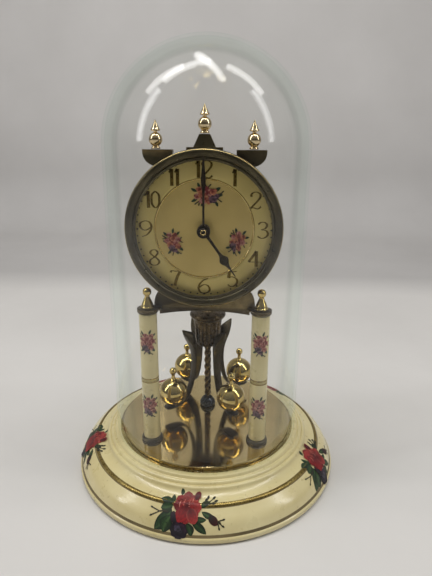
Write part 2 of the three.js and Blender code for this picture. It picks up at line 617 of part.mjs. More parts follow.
function fork() {
  const clamp = block([-1.8, 1.8], [14.2, 17.8], [222, 224.4]);
  const tines = [-1, 1].map((side) => block([side * 1.25 - 0.4, side * 1.25 + 0.4], [8.8, 14.6], [222, 224.4]));
  const slot = block([-0.8, 0.8], [15.6, 16.4], [220, 226]);
  return cut(join(clamp, ...tines), slot);
}

add('suspension_saddle', saddle(), WORK_BRASS);
add('suspension_top_block', block([-2.5, 2.5], [14.4, 17.6], [228.5, 233.2]), WORK_BRASS);
add('suspension_spring', block([-0.5, 0.5], [15.92, 16.08], [SPRING.bottom, SPRING.top]), STEEL);
add('suspension_fork', fork(), WORK_BRASS);

// ---- pendulum -----------------------------------------------------------------------------
/** A strip along [distance, z, halfWidth, inward depth] stations in a plane through the axis. */
function leafArm(stations, thickness) {
  const points = [];
  stations.forEach(([r, z, width, depth = thickness / 2], i) => {
    const [before, after] = [stations[Math.max(i - 1, 0)], stations[Math.min(i + 1, stations.length - 1)]];
    const run = [after[0] - before[0], after[1] - before[1]];
    const length = Math.hypot(...run);
    const outward = [-run[1] / length, run[0] / length];
    for (const [offset, across] of [[thickness / 2, -1], [thickness / 2, 1], [-depth, 1], [-depth, -1]]) {
      points.push(r + offset * outward[0], across * width, z + offset * outward[1]);
    }
  });
  const faces = [];
  for (let i = 0; i < stations.length - 1; i += 1) {
    for (let k = 0; k < 4; k += 1) {
      const [a, b] = [4 * i + k, 4 * i + (k + 1) % 4];
      faces.push(a, b, b + 4, a, b + 4, a + 4);
    }
  }
  const last = 4 * (stations.length - 1);
  faces.push(0, 2, 1, 0, 3, 2, last, last + 1, last + 2, last, last + 2, last + 3);
  const geometry = new THREE.BufferGeometry();
  geometry.setAttribute('position', new THREE.Float32BufferAttribute(points, 3));
  geometry.setIndex(faces);
  return closed(geometry);
}

const ARM = [
  [23, 103.4, 0.4], [21.4, 99.6, 2, 4], [19.4, 95.6, 3.4, 6.6], [17.2, 91.6, 4.4, 5.4], [15.2, 87.6, 4.6, 3.4],
  [13.9, 83.4, 4.5, 1.8], [13.2, 78, 4.1], [13.4, 70, 3.8], [14.8, 61, 3.5], [17.1, 53, 3.3], [20.6, 46.4, 3.2],
  [25.4, 42.6, 3.2], [31, 41.4, 3.6], [36.6, 41.3, 3.8], [39.6, 41.4, 2.6],
];

function ball() {
  const { ballRadius, ballZ } = PENDULUM;
  const profile = [[0, ballZ - ballRadius]];
  for (let turn = -66; turn <= 66; turn += 22) {
    profile.push([ballRadius * Math.cos(degrees(turn)), ballZ + ballRadius * Math.sin(degrees(turn))]);
  }
  profile.push([1.9, 64.8], [1.4, 67.8], [2.8, 70.2], [2.6, 72.8], [0, 74.3]);
  return turned(profile, 16);
}

/** A square bar twisted about its own length, with a round pin below. */
function twistedRod() {
  const steps = 28;
  const [low, high] = [41.2, 86.6];
  const points = [];
  const faces = [];
  for (let i = 0; i <= steps; i += 1) {
    const turn = i / steps * 3.5 * Math.PI;
    for (let k = 0; k < 4; k += 1) {
      const angle = turn + k * Math.PI / 2;
      points.push(2.75 * Math.cos(angle), 2.75 * Math.sin(angle), low + (high - low) * i / steps);
      const [a, b] = [4 * i + k, 4 * i + (k + 1) % 4];
      if (i < steps) faces.push(a, b, b + 4, a, b + 4, a + 4);
    }
  }
  const last = 4 * steps;
  faces.push(0, 2, 1, 0, 3, 2, last, last + 1, last + 2, last, last + 2, last + 3);
  const bar = new THREE.BufferGeometry();
  bar.setAttribute('position', new THREE.Float32BufferAttribute(points, 3));
  bar.setIndex(faces);
  return join(bar, rod(1.5, 37, 46));
}

const crown = turned([
  [0, 87], [8.6, 87], [9.8, 90], [10.4, 99], [11.4, 108.4], [13.4, 110.4], [14.2, 112.4], [13.3, 114.4], [7, 116],
  [5, 117.8], [0, 117.8],
], 20);
const hang = (geometry) => geometry.translate(0, PENDULUM.y, 0);

add('pendulum_bottom_block', block([-2.5, 2.5], [14.4, 17.6], [118.1, 124.3]), WORK_BRASS);
add('pendulum_crown', hang(crown), BRONZE);
add('pendulum_rod', hang(twistedRod()), BRONZE);
for (let i = 0; i < 4; i += 1) {
  const azimuth = degrees(PENDULUM.firstAzimuth + 90 * i);
  add(`pendulum_arm_${i + 1}`, hang(leafArm(ARM, 1.6).rotateZ(azimuth)), BRONZE);
  add(`pendulum_ball_${i + 1}`, hang(ball().translate(PENDULUM.ring, 0, 0).rotateZ(azimuth)), BRASS);
}

// ---- glass dome ---------------------------------------------------------------------------
function dome() {
  const { radius, wall, bottom, shoulder } = DOME;
  const inner = radius - wall;
  const profile = [[0, shoulder + radius]];
  for (let turn = 75; turn >= 0; turn -= 15) {
    profile.push([radius * Math.cos(degrees(turn)), shoulder + radius * Math.sin(degrees(turn))]);
  }
  profile.push([radius, bottom], [inner, bottom]);
  for (let turn = 0; turn <= 75; turn += 15) {
    profile.push([inner * Math.cos(degrees(turn)), shoulder + inner * Math.sin(degrees(turn))]);
  }
  profile.push([0, shoulder + inner]);
  return turned(profile, 36);
}

add('glass_dome', dome(), GLASS);

export default clock;
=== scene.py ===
"""Looks of a 400-day anniversary clock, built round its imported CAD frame.

Lengths are in millimetres up to the point where a mesh is made, which is in metres. +Z is up and
the front of the clock faces -Y, as in the frame.
"""
import math
import random

import bpy
from mathutils import Matrix, Vector


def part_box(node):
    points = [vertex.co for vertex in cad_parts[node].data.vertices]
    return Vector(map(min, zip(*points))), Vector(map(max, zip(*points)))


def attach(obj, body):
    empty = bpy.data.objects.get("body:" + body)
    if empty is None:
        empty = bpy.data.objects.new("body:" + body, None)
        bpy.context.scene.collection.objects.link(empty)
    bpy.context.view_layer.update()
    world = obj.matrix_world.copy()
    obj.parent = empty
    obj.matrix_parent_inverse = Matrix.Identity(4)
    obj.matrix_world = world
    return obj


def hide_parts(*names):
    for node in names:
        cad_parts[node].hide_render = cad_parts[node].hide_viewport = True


MM = 0.001
TAU = 2 * math.pi
FRONT = -math.pi / 2  # azimuth of the clock's front

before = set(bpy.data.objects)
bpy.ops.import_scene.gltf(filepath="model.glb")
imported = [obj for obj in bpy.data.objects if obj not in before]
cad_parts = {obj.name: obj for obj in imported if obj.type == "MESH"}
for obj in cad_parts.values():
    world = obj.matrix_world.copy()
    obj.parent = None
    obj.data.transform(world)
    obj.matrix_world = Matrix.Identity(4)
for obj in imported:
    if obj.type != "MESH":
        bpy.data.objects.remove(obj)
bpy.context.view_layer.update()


def box(node):
    """Lowest and highest corner of a CAD node, in millimetres."""
    low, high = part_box(node)
    return low / MM, high / MM


def centre(node):
    low, high = box(node)
    return (low + high) / 2


def lerp(a, b, t):
    return a + (b - a) * t


def blend_colour(a, b, t):
    return tuple(lerp(p, q, t) for p, q in zip(a, b))


# ---- materials ----


class Look:
    """A material or world under construction. Inputs are set by name, or linked where the value is a socket."""

    def __init__(self, name, made_in=None, output="OutputMaterial"):
        self.owner = (bpy.data.materials if made_in is None else made_in).new(name)
        self.owner.use_nodes = True
        self.tree = self.owner.node_tree
        self.tree.nodes.clear()
        self.output = self.node(output)

    def node(self, kind, inputs=None, **settings):
        made = self.tree.nodes.new("ShaderNode" + kind)
        for key, value in settings.items():
            setattr(made, key, value)
        for key, value in (inputs or {}).items():
            if isinstance(value, bpy.types.NodeSocket):
                self.tree.links.new(value, made.inputs[key])
            else:
                made.inputs[key].default_value = value
        return made

    def noise(self, scale, detail=3.0, stretch=(1, 1, 1)):
        where = self.node("TexCoord").outputs["Object"]
        stretched = self.node("Mapping", {"Vector": where, "Scale": stretch}).outputs[0]
        return self.node("TexNoise", {"Vector": stretched, "Scale": scale, "Detail": detail}).outputs[0]

    def ramp(self, value, colours, stops=(0.3, 0.5, 0.7)):
        made = self.node("ValToRGB", {"Fac": value})
        elements = made.color_ramp.elements
        while len(elements) < len(stops):
            elements.new(0.5)
        for element, position, colour in zip(elements, stops, colours):
            element.position = position
            element.color = (*colour, 1)
        return made.outputs["Color"]

    def spread(self, value, low, high, start=0.3, end=0.7):
        """The value's range from start to end, stretched to run from low to high."""
        inputs = {"Value": value, "From Min": start, "From Max": end, "To Min": low, "To Max": high}
        return self.node("MapRange", inputs).outputs[0]

    def mix(self, factor, a, b, blend_type="MIX"):
        a, b = (colour if isinstance(colour, bpy.types.NodeSocket) else (*colour, 1) for colour in (a, b))
        made = self.node("Mix", {0: factor, 6: a, 7: b}, data_type="RGBA", blend_type=blend_type)
        return made.outputs[2]

    def bump(self, height, strength, distance):
        inputs = {"Height": height, "Strength": strength, "Distance": distance * MM}
        return self.node("Bump", inputs).outputs[0]

    def done(self, kind, inputs):
        """Puts the last shader in place and gives back the material."""
        self.tree.links.new(self.node(kind, inputs).outputs[0], self.output.inputs["Surface"])
        return self.owner


def surface(name, colours, rough, metallic=0.0, mottle=40.0, grain=700.0, bump=0.02, worn=None,
            stretch=(1, 1, 1), coat=0.0):
    """A solid material: cloudy colour between three tones, fine grain in gloss and bump, worn edges."""
    look = Look(name)
    colour = look.ramp(look.noise(mottle, 5.0, stretch), colours)
    if worn:
        edge = look.node("NewGeometry").outputs["Pointiness"]
        patchy = look.noise(260.0, 4.0)
        share = look.node("Math", {0: look.spread(edge, 0, 1, 0.52, 0.62), 1: patchy}, operation="MULTIPLY")
        colour = look.mix(share.outputs[0], colour, worn)
    grained = look.noise(grain, 3.0, stretch)
    return look.done("BsdfPrincipled", {
        "Base Color": colour, "Metallic": metallic, "Roughness": look.spread(grained, *rough),
        "Normal": look.bump(grained, 0.5, bump), "Coat Weight": coat, "Coat Roughness": 0.12,
    })


def enamel():
    """Old cream enamel: warm, slightly mottled, glossy, with faint brown specks."""
    look = Look("cream_enamel")
    tones = (0.63, 0.53, 0.255), (0.71, 0.61, 0.315), (0.76, 0.67, 0.37)
    colour = look.ramp(look.noise(28.0, 6.0), tones, (0.3, 0.5, 0.72))
    specks = look.spread(look.noise(420.0, 2.0), 0, 0.35, 0.66, 0.74)
    colour = look.mix(specks, colour, (0.34, 0.24, 0.11))
    return look.done("BsdfPrincipled", {
        "Base Color": colour, "Roughness": look.spread(look.noise(160.0, 4.0), 0.24, 0.4),
        "Normal": look.bump(look.noise(90.0, 2.0), 0.35, 0.12), "Coat Weight": 0.55, "Coat Roughness": 0.14,
    })


def painted():
    """Transfer-printed flowers: the mesh's own colours with a brushed, slightly broken texture."""
    look = Look("flower_transfer")
    colour = look.node("Attribute", attribute_name="Paint").outputs["Color"]
    strokes = look.spread(look.noise(900.0, 3.0, (1, 1, 0.35)), 0.0, 0.55)
    colour = look.mix(strokes, colour, look.mix(1.0, colour, (0.35, 0.3, 0.3), "MULTIPLY"))
    return look.done("BsdfPrincipled", {
        "Base Color": colour, "Roughness": 0.55, "Coat Weight": 0.06, "Coat Roughness": 0.25,
        "Normal": look.bump(strokes, 0.3, 0.03),
    })


def felt():
    look = Look("felt")
    fibres = look.noise(1800.0, 6.0)
    tones = (0.012, 0.012, 0.01), (0.03, 0.028, 0.024), (0.06, 0.055, 0.05)
    return look.done("BsdfPrincipled", {
        "Base Color": look.ramp(fibres, tones), "Roughness": 0.95, "Normal": look.bump(fibres, 0.8, 0.3),
        "Sheen Weight": 0.6,
    })


def glass():
    """Thin blown glass: nearly clear face on, denser and greener towards the edge, with a sharp gloss."""
    look = Look("dome_glass")
    facing = look.node("LayerWeight", {"Blend": 0.5}).outputs["Facing"]
    tints = ((0.99, 0.99, 0.985), (0.985, 0.99, 0.985), (0.93, 0.945, 0.935), (0.98, 0.995, 0.985),
             (0.975, 0.995, 0.985), (0.9, 0.94, 0.92))
    tint = look.ramp(facing, tints, (0.0, 0.49, 0.545, 0.6, 0.88, 1.0))
    normal = look.bump(look.noise(9.0, 1.0), 0.05, 0.2)
    clear = look.node("BsdfTransparent", {"Color": tint})
    gloss = look.node("BsdfGlossy", {"Color": (1, 1, 1, 1), "Roughness": 0.05, "Normal": normal})
    steep = look.node("Math", {0: facing, 1: 5.0}, operation="POWER").outputs[0]
    slight = look.node("Math", {0: facing, 1: 0.07, 2: 0.006}, operation="MULTIPLY_ADD").outputs[0]
    share = look.node("Math", {0: steep, 1: 0.25, 2: slight}, operation="MULTIPLY_ADD").outputs[0]
    return look.done("MixShader", {0: share, 1: clear.outputs[0], 2: gloss.outputs[0]})


CREAM = enamel()
TRANSFER = painted()
FELT = felt()
GLASS = glass()
GILT = surface("gilt_paint", [(0.17, 0.12, 0.034), (0.29, 0.21, 0.065), (0.42, 0.32, 0.11)], (0.22, 0.38),
               metallic=0.85, mottle=70)
BAND = surface("band_paint", [(0.4, 0.32, 0.13), (0.46, 0.38, 0.16), (0.52, 0.43, 0.2)], (0.25, 0.4))
DARK_LINE = surface("groove_shadow", [(0.1, 0.075, 0.03), (0.16, 0.12, 0.05), (0.2, 0.15, 0.07)], (0.4, 0.6))
POLISHED = {"metallic": 1.0, "mottle": 90, "grain": 240, "bump": 0.006}
BRASS = surface("polished_brass", [(0.48, 0.35, 0.11), (0.6, 0.46, 0.17), (0.72, 0.58, 0.26)], (0.07, 0.17),
                worn=(0.95, 0.82, 0.52), **POLISHED)
PALE_BRASS = surface("pale_brass", [(0.58, 0.45, 0.25), (0.72, 0.58, 0.35), (0.84, 0.7, 0.47)], (0.07, 0.16),
                     worn=(0.95, 0.85, 0.68), **POLISHED)
FLOOR_BRASS = surface("floor_brass", [(0.46, 0.35, 0.16), (0.58, 0.45, 0.21), (0.66, 0.54, 0.28)], (0.05, 0.15),
                      metallic=1.0, mottle=22, grain=60, bump=0.004)
BRONZE = surface("dark_bronze", [(0.05, 0.041, 0.024), (0.088, 0.074, 0.042), (0.135, 0.115, 0.066)], (0.26, 0.42),
                 metallic=0.85, mottle=60, grain=420, bump=0.02, worn=(0.42, 0.3, 0.14))
RED_BRONZE = surface("red_bronze", [(0.05, 0.036, 0.02), (0.085, 0.06, 0.032), (0.15, 0.105, 0.05)], (0.22, 0.38),
                     metallic=0.9, mottle=55, grain=420, bump=0.015, worn=(0.5, 0.36, 0.13))
ARM_BRONZE = surface("arm_bronze", [(0.026, 0.02, 0.011), (0.044, 0.034, 0.019), (0.078, 0.061, 0.032)], (0.3, 0.46),
                     metallic=0.8, mottle=50, grain=420, bump=0.015, worn=(0.36, 0.27, 0.12))
MOVEMENT = surface("movement_brass", [(0.46, 0.34, 0.135), (0.53, 0.4, 0.165), (0.58, 0.45, 0.2)], (0.24, 0.36),
                   metallic=1.0, mottle=40, grain=420, bump=0.006, stretch=(1, 1, 4), worn=(0.8, 0.66, 0.36))
STEEL = surface("blued_steel", [(0.2, 0.21, 0.22), (0.3, 0.31, 0.33), (0.38, 0.39, 0.41)], (0.2, 0.35),
                metallic=1.0, mottle=120, grain=800, bump=0.006)
LACQUERED = {"rough": (0.36, 0.52), "metallic": 0.4, "mottle": 30, "grain": 1400, "bump": 0.01, "coat": 0.08}
DIAL_PAINT = surface("dial_paint", [(0.53, 0.4, 0.135), (0.6, 0.455, 0.16), (0.65, 0.5, 0.19)], **LACQUERED)
CHAPTER_PAINT = surface("chapter_paint", [(0.58, 0.46, 0.16), (0.66, 0.53, 0.19), (0.71, 0.58, 0.23)], **LACQUERED)
FIGURES = surface("dial_figures", [(0.1, 0.064, 0.013), (0.15, 0.1, 0.021), (0.23, 0.16, 0.036)], (0.24, 0.36),
                  metallic=0.9, mottle=300, grain=900)
HANDS = surface("hand_black", [(0.01, 0.008, 0.006), (0.018, 0.014, 0.01), (0.04, 0.03, 0.02)], (0.25, 0.4),
                metallic=0.4, mottle=200, grain=900, worn=(0.2, 0.14, 0.07))
CUP_STEEL = surface("cup_steel", [(0.03, 0.034, 0.04), (0.055, 0.062, 0.07), (0.1, 0.11, 0.12)], (0.2, 0.35),
                    metallic=0.9, mottle=150, grain=800, bump=0.006)


# ---- mesh helpers ----


def piece(name, body, mesh, materials, replaces=(), sharp=38, bevel=0.0):
    """Makes an object of (points in millimetres, faces, material of each face) that rides on a body."""
    points, faces, kinds = mesh
    data = bpy.data.meshes.new(name)
    data.from_pydata([tuple(c * MM for c in p) for p in points], [], faces)
    for material in materials:
        data.materials.append(material)
    if kinds:
        data.polygons.foreach_set("material_index", kinds)
    data.shade_smooth()
    data.set_sharp_from_angle(angle=math.radians(sharp))
    made = bpy.data.objects.new(name, data)
    bpy.context.scene.collection.objects.link(made)
    if bevel:
        add_bevel(made, bevel)
    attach(made, body)
    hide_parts(*replaces)
    return made


def add_bevel(obj, width):
    modifier = obj.modifiers.new("edges", "BEVEL")
    modifier.width = width * MM
    modifier.segments = 2
    modifier.limit_method = "ANGLE"
    modifier.angle_limit = math.radians(35)


def combined(*meshes):
    """Several meshes as one."""
    points, faces, kinds = [], [], []
    for some_points, some_faces, some_kinds in meshes:
        start = len(points)
        points += some_points
        faces += [tuple(i + start for i in face) for face in some_faces]
        kinds += some_kinds or [0] * len(some_faces)
    return points, faces, kinds


def moved(mesh, matrix):
    points, faces, kinds = mesh
    return [tuple(matrix @ Vector(p)) for p in points], faces, kinds


def softened(profile, closed=False, steps=4):
    """Profile points (a, b, fillet radius, material of the next span) with each corner rounded."""
    full = [(*p, *(0, 0)[len(p) - 2:]) for p in profile]
    made = []
    for i, (a, b, fillet, kind) in enumerate(full):
        last = len(full) - 1
        if not fillet or (not closed and i in (0, last)):
            made.append((a, b, kind))
            continue
        here = Vector((a, b))
        before, after = full[i - 1], full[(i + 1) % len(full)]
        arm_in, arm_out = Vector(before[:2]) - here, Vector(after[:2]) - here
        reach = min(fillet, arm_in.length * 0.49, arm_out.length * 0.49)
        start, end = here + arm_in.normalized() * reach, here + arm_out.normalized() * reach
        for step in range(steps + 1):
            t = step / steps
            at = start * (1 - t) ** 2 + here * 2 * t * (1 - t) + end * t * t
            made.append((at.x, at.y, before[3] if t < 0.5 else kind))
    return made


def lathe(profile, segments=64, closed=False, steps=4, axis="Z", at=(0, 0, 0), flutes=None):
    """A profile of (radius, height, ...) points turned about an upright axis, or one along Y."""
    outline = softened(profile, closed, steps)
    points, rings = [], []
    for radius, height, _ in outline:
        if radius < 1e-6:
            rings.append([len(points)])
            points.append((0, 0, height))
            continue
        rings.append(list(range(len(points), len(points) + segments)))
        for k in range(segments):
            angle = TAU * k / segments
            r = radius * flutes(angle, height) if flutes else radius
            points.append((r * math.cos(angle), r * math.sin(angle), height))
    faces, kinds = [], []
    pairs = list(zip(rings, rings[1:])) + ([(rings[-1], rings[0])] if closed else [])
    for (lower, upper), (_, _, kind) in zip(pairs, outline):
        for k in range(segments):
            a, b = lower[k % len(lower)], lower[(k + 1) % len(lower)]
            c, d = upper[(k + 1) % len(upper)], upper[k % len(upper)]
            face = [i for n, i in enumerate((a, b, c, d)) if i not in (a, b, c, d)[:n]]
            if len(face) > 2:
                faces.append(tuple(face))
                kinds.append(kind)
    if axis == "Y":
        points = [(x, z, -y) for x, y, z in points]
    x0, y0, z0 = at
    return [(x + x0, y + y0, z + z0) for x, y, z in points], faces, kinds


def smooth_path(points, steps=6):
    """A Catmull-Rom curve through points of any dimension."""
    made = []
    last = len(points) - 1
    for i in range(last):
        p0, p1, p2, p3 = (points[max(0, min(last, i + k))] for k in (-1, 0, 1, 2))
        for step in range(steps):
            t = step / steps
            weights = (-t + 2 * t**2 - t**3, 2 - 5 * t**2 + 3 * t**3, t + 4 * t**2 - 3 * t**3, -(t**2) + t**3)
            made.append(tuple(0.5 * sum(w * p[k] for w, p in zip(weights, (p0, p1, p2, p3)))
                              for k in range(len(p1))))
    made.append(tuple(points[-1]))
    return made


def arc(radius, height, start, stop, step):
    """Profile points round a circle centred on the axis, from one angle to another in degrees."""
    angles = [math.radians(degrees) for degrees in range(start, stop, step)]
    return [(radius * math.cos(a), height + radius * math.sin(a)) for a in angles]


def tube_faces(rings, sides):
    """The faces of a tube through rings of points, closed at both ends."""
    faces = []
    for first in range(0, (rings - 1) * sides, sides):
        for k in range(sides):
            a, b = first + k, first + (k + 1) % sides
            faces.append((a, b, b + sides, a + sides))
    last = (rings - 1) * sides
    return [*faces, tuple(reversed(range(sides))), tuple(range(last, last + sides))]


def slab(outline, low, high):
    """A flat outline of (x, z) points given thickness along y."""
    count = len(outline)
    points = [(x, y, z) for y in (low, high) for x, z in outline]
    sides = [(k, k + count, (k + 1) % count + count, (k + 1) % count) for k in range(count)]
    faces = [tuple(range(count)), tuple(reversed(range(count, 2 * count))), *sides]
    return points, faces, []


# ---- base ----

GILT_SPAN, LINE_SPAN = 1, 2
# Radius, height, fillet and, where it isn't cream, the material of the span that follows.
BASE_OUTER = [
    (100, 1.2, 0.8), (100, 4.2, 1.1), (99.1, 5.0, 0.2, LINE_SPAN), (98.8, 5.4, 0.2, LINE_SPAN), (98.2, 6.7, 0.3),
    (95.4, 13.4, 7), (88.9, 18.8, 0.3, LINE_SPAN), (88.6, 19.3, 0.3, GILT_SPAN), (88.0, 20.5, 0.8, GILT_SPAN),
    (86.4, 21.0, 0.6, LINE_SPAN), (85.9, 20.4, 0.2), (81.5, 21.4, 4), (78.8, 23.0, 1.2), (78.0, 25.4, 0.9),
    (76.2, 25.8, 0.7), (75.7, 25.2, 0.4), (75.0, 27.1, 0.9), (73.4, 27.6, 0.7), (72.9, 27.1, 0.3), (72.3, 27.4, 0.2),
    (71.6, 29.4, 0.8),
]
BASE_INNER = [
    (68.2, 29.4, 0.3, GILT_SPAN), (66.4, 29.4, 0.3, GILT_SPAN), (66.4, 28.2), (60, 28.2), (60, 26.9), (70.5, 26.9, 1),
    (76.6, 22.0, 1), (86.8, 17.4, 1), (93.6, 11, 2), (96.8, 5.8, 1), (96.8, 1.2, 0.3),
]
FELT_INNER = 85
FELT_UNEVEN = 0.0012  # share of the radius that the felt's edge wanders inwards


def build_base():
    base = lathe(BASE_OUTER + BASE_INNER, 180, closed=True)
    piece("base_enamel", "base", base, [CREAM, GILT, DARK_LINE], ["base_shell"])
    low, high = box("felt_ring")
    edge = high.x
    rough = random.Random(7)
    profile = [(FELT_INNER, low.z), (edge - 0.4, low.z, 0.2), (edge, (low.z + high.z) / 2, 0.2),
               (edge - 0.3, high.z), (FELT_INNER, high.z)]
    points, faces, kinds = lathe(profile, 240, closed=True, steps=2)
    points = [(x * (1 + rough.uniform(-FELT_UNEVEN, 0)), y * (1 + rough.uniform(-FELT_UNEVEN, 0)), z)
              for x, y, z in points]
    piece("felt_pad", "base", (points, faces, kinds), [FELT], ["felt_ring"])


# ---- painted flowers ----

LEAF_DARK, LEAF_MID, LEAF_PALE = (0.005, 0.012, 0.004), (0.014, 0.046, 0.01), (0.06, 0.125, 0.034)
RED_DARK, RED, RED_PALE = (0.055, 0.002, 0.004), (0.34, 0.007, 0.01), (0.6, 0.11, 0.08)
INK_DARK, INK, INK_PALE = (0.004, 0.003, 0.006), (0.012, 0.008, 0.018), (0.1, 0.08, 0.13)
PINK_DARK, PINK, PINK_PALE = (0.18, 0.01, 0.015), (0.45, 0.065, 0.06), (0.74, 0.4, 0.3)
PURPLE_DARK, PURPLE, PURPLE_PALE = (0.014, 0.004, 0.01), (0.07, 0.017, 0.045), (0.34, 0.18, 0.22)
ROSE = (0.4, 0.022, 0.045)
AMBER_DARK, AMBER, AMBER_PALE = (0.14, 0.01, 0.008), (0.42, 0.045, 0.026), (0.72, 0.3, 0.15)
STEM = (0.03, 0.026, 0.01)
CREAM_STROKE = (0.8, 0.48, 0.34)


PATCH_LIFT = 0.007  # how far each patch lies above the one before it


class Spray:
    """Flowers painted as thin coloured patches, each laid a hair above the one before it."""

    def __init__(self, place, scale=1.0, seed=1):
        self.place = place
        self.scale = scale
        self.points, self.faces, self.colours = [], [], []
        self.lift = 0.05
        self.random = random.Random(seed)

    def patch(self, start, end, width, paint, bend=0.0, blunt=0.7, along=8, across=6):
        """A petal or leaf from start to end; paint(across, along) gives the colour at a point on it."""
        self.lift += PATCH_LIFT
        (x0, y0), (x1, y1) = start, end
        nx, ny = -(y1 - y0), x1 - x0
        length = math.hypot(nx, ny)
        nx, ny = nx / length, ny / length
        first = len(self.points)
        for i in range(along + 1):
            t = i / along
            half = width / 2 * math.sin(math.pi * min(0.998, max(0.002, t))) ** blunt
            sway = bend * 4 * t * (1 - t)
            for j in range(across + 1):
                s = 2 * j / across - 1
                x, y = lerp(x0, x1, t) + nx * (s * half + sway), lerp(y0, y1, t) + ny * (s * half + sway)
                self.points.append(self.place(x * self.scale, y * self.scale, self.lift))
                self.colours.append((*paint(s, t), 1))
        row = across + 1
        for i in range(along):
            for j in range(across):
                a = first + i * row + j
                self.faces.append((a, a + row, a + row + 1, a + 1))

    def petal(self, start, end, width, tones, glow=0.5):
        dark, mid, pale = tones

        def paint(s, t):
            edge = max(abs(s) ** 3, t**3) * glow
            streak = 0.5 + 0.5 * math.sin(9 * s + 5 * t + glow * 7)
            inner = blend_colour(dark, mid, min(1, t * 1.25) * (0.5 + 0.5 * streak))
            return blend_colour(inner, pale, min(1, edge))

        self.patch(start, end, width, paint, blunt=0.42)

    def leaf(self, start, end, width, bend=0.0, light=0.5):
        def paint(s, t):
            vein = math.exp(-((s * 7) ** 2)) + 0.35 * max(0, math.sin(22 * t - 5 * abs(s)))
            rim = abs(s) ** 4
            green = blend_colour(LEAF_MID, LEAF_PALE, min(1, vein * light))
            return blend_colour(green, LEAF_DARK, min(1, rim + 0.4 * (s > 0)))

        self.patch(start, end, width, paint, bend, blunt=0.75, along=10)

    def stem(self, start, end, width=0.5, bend=0.0):
        self.patch(start, end, width, lambda s, t: STEM, bend, blunt=0.12, across=1)

    def sprig(self, root, tips, bud=1.1):
        """A small twig: stems from the root to each tip, each with a dark bud."""
        for x, y in tips:
            self.stem(root, (x, y), 0.7)
            tone = blend_colour(LEAF_DARK, STEM, self.random.random())
            out = Vector((x - root[0], y - root[1])).normalized() * bud
            self.patch((x - out.x, y - out.y), (x + out.x, y + out.y), bud, lambda s, t: tone, blunt=0.6, along=4,
                       across=3)

    def bloom(self, x, y, radius, tones):
        """A small flower of a few petals, each with a tone of its own."""
        dark, mid, pale = tones
        start = self.random.uniform(0, TAU)
        for ring, (count, reach) in enumerate(((6, 1.0), (4, 0.6))):
            for i in range(count):
                angle = start + TAU * (i + 0.5 * ring) / count
                out = radius * reach * self.random.uniform(0.85, 1.15)
                share = self.random.random()
                tip = blend_colour(mid, pale, share) if share > 0.4 else blend_colour(dark, mid, share)
                self.petal((x, y), (x + out * math.cos(angle), y + out * math.sin(angle)), radius * 0.85,
                           (dark, tip, pale), 0.6 * share)

    def rose(self, x, y, radius, tones, lean=1.0, light=math.radians(60)):
        """A full rose: rings of overlapping petals, paler where they face the light."""
        rings = (8, 1.0, 0.84), (7, 0.8, 0.72), (6, 0.6, 0.6), (4, 0.4, 0.46)
        for ring, (count, reach, size) in enumerate(rings):
            for i in range(count):
                angle = TAU * i / count + ring * 0.9 + self.random.uniform(-0.15, 0.15)
                out = radius * reach * self.random.uniform(0.94, 1.03)
                dx, dy = math.cos(angle), math.sin(angle) * lean
                start = (x - dx * radius * 0.08, y - dy * radius * 0.08)
                glow = 0.08 + 0.6 * max(0, math.cos(angle - light)) * (1 - 0.1 * ring)
                shade = self.random.uniform(0.5, 1.15)
                shaded = [tuple(c * shade for c in tone) for tone in tones]
                self.petal(start, (x + dx * out, y + dy * out), radius * size, shaded, glow)

    def build(self, name):
        made = piece(name, "base", (self.points, self.faces, []), [TRANSFER])
        paint = made.data.color_attributes.new("Paint", "FLOAT_COLOR", "POINT")
        paint.data.foreach_set("color", [c for colour in self.colours for c in colour])


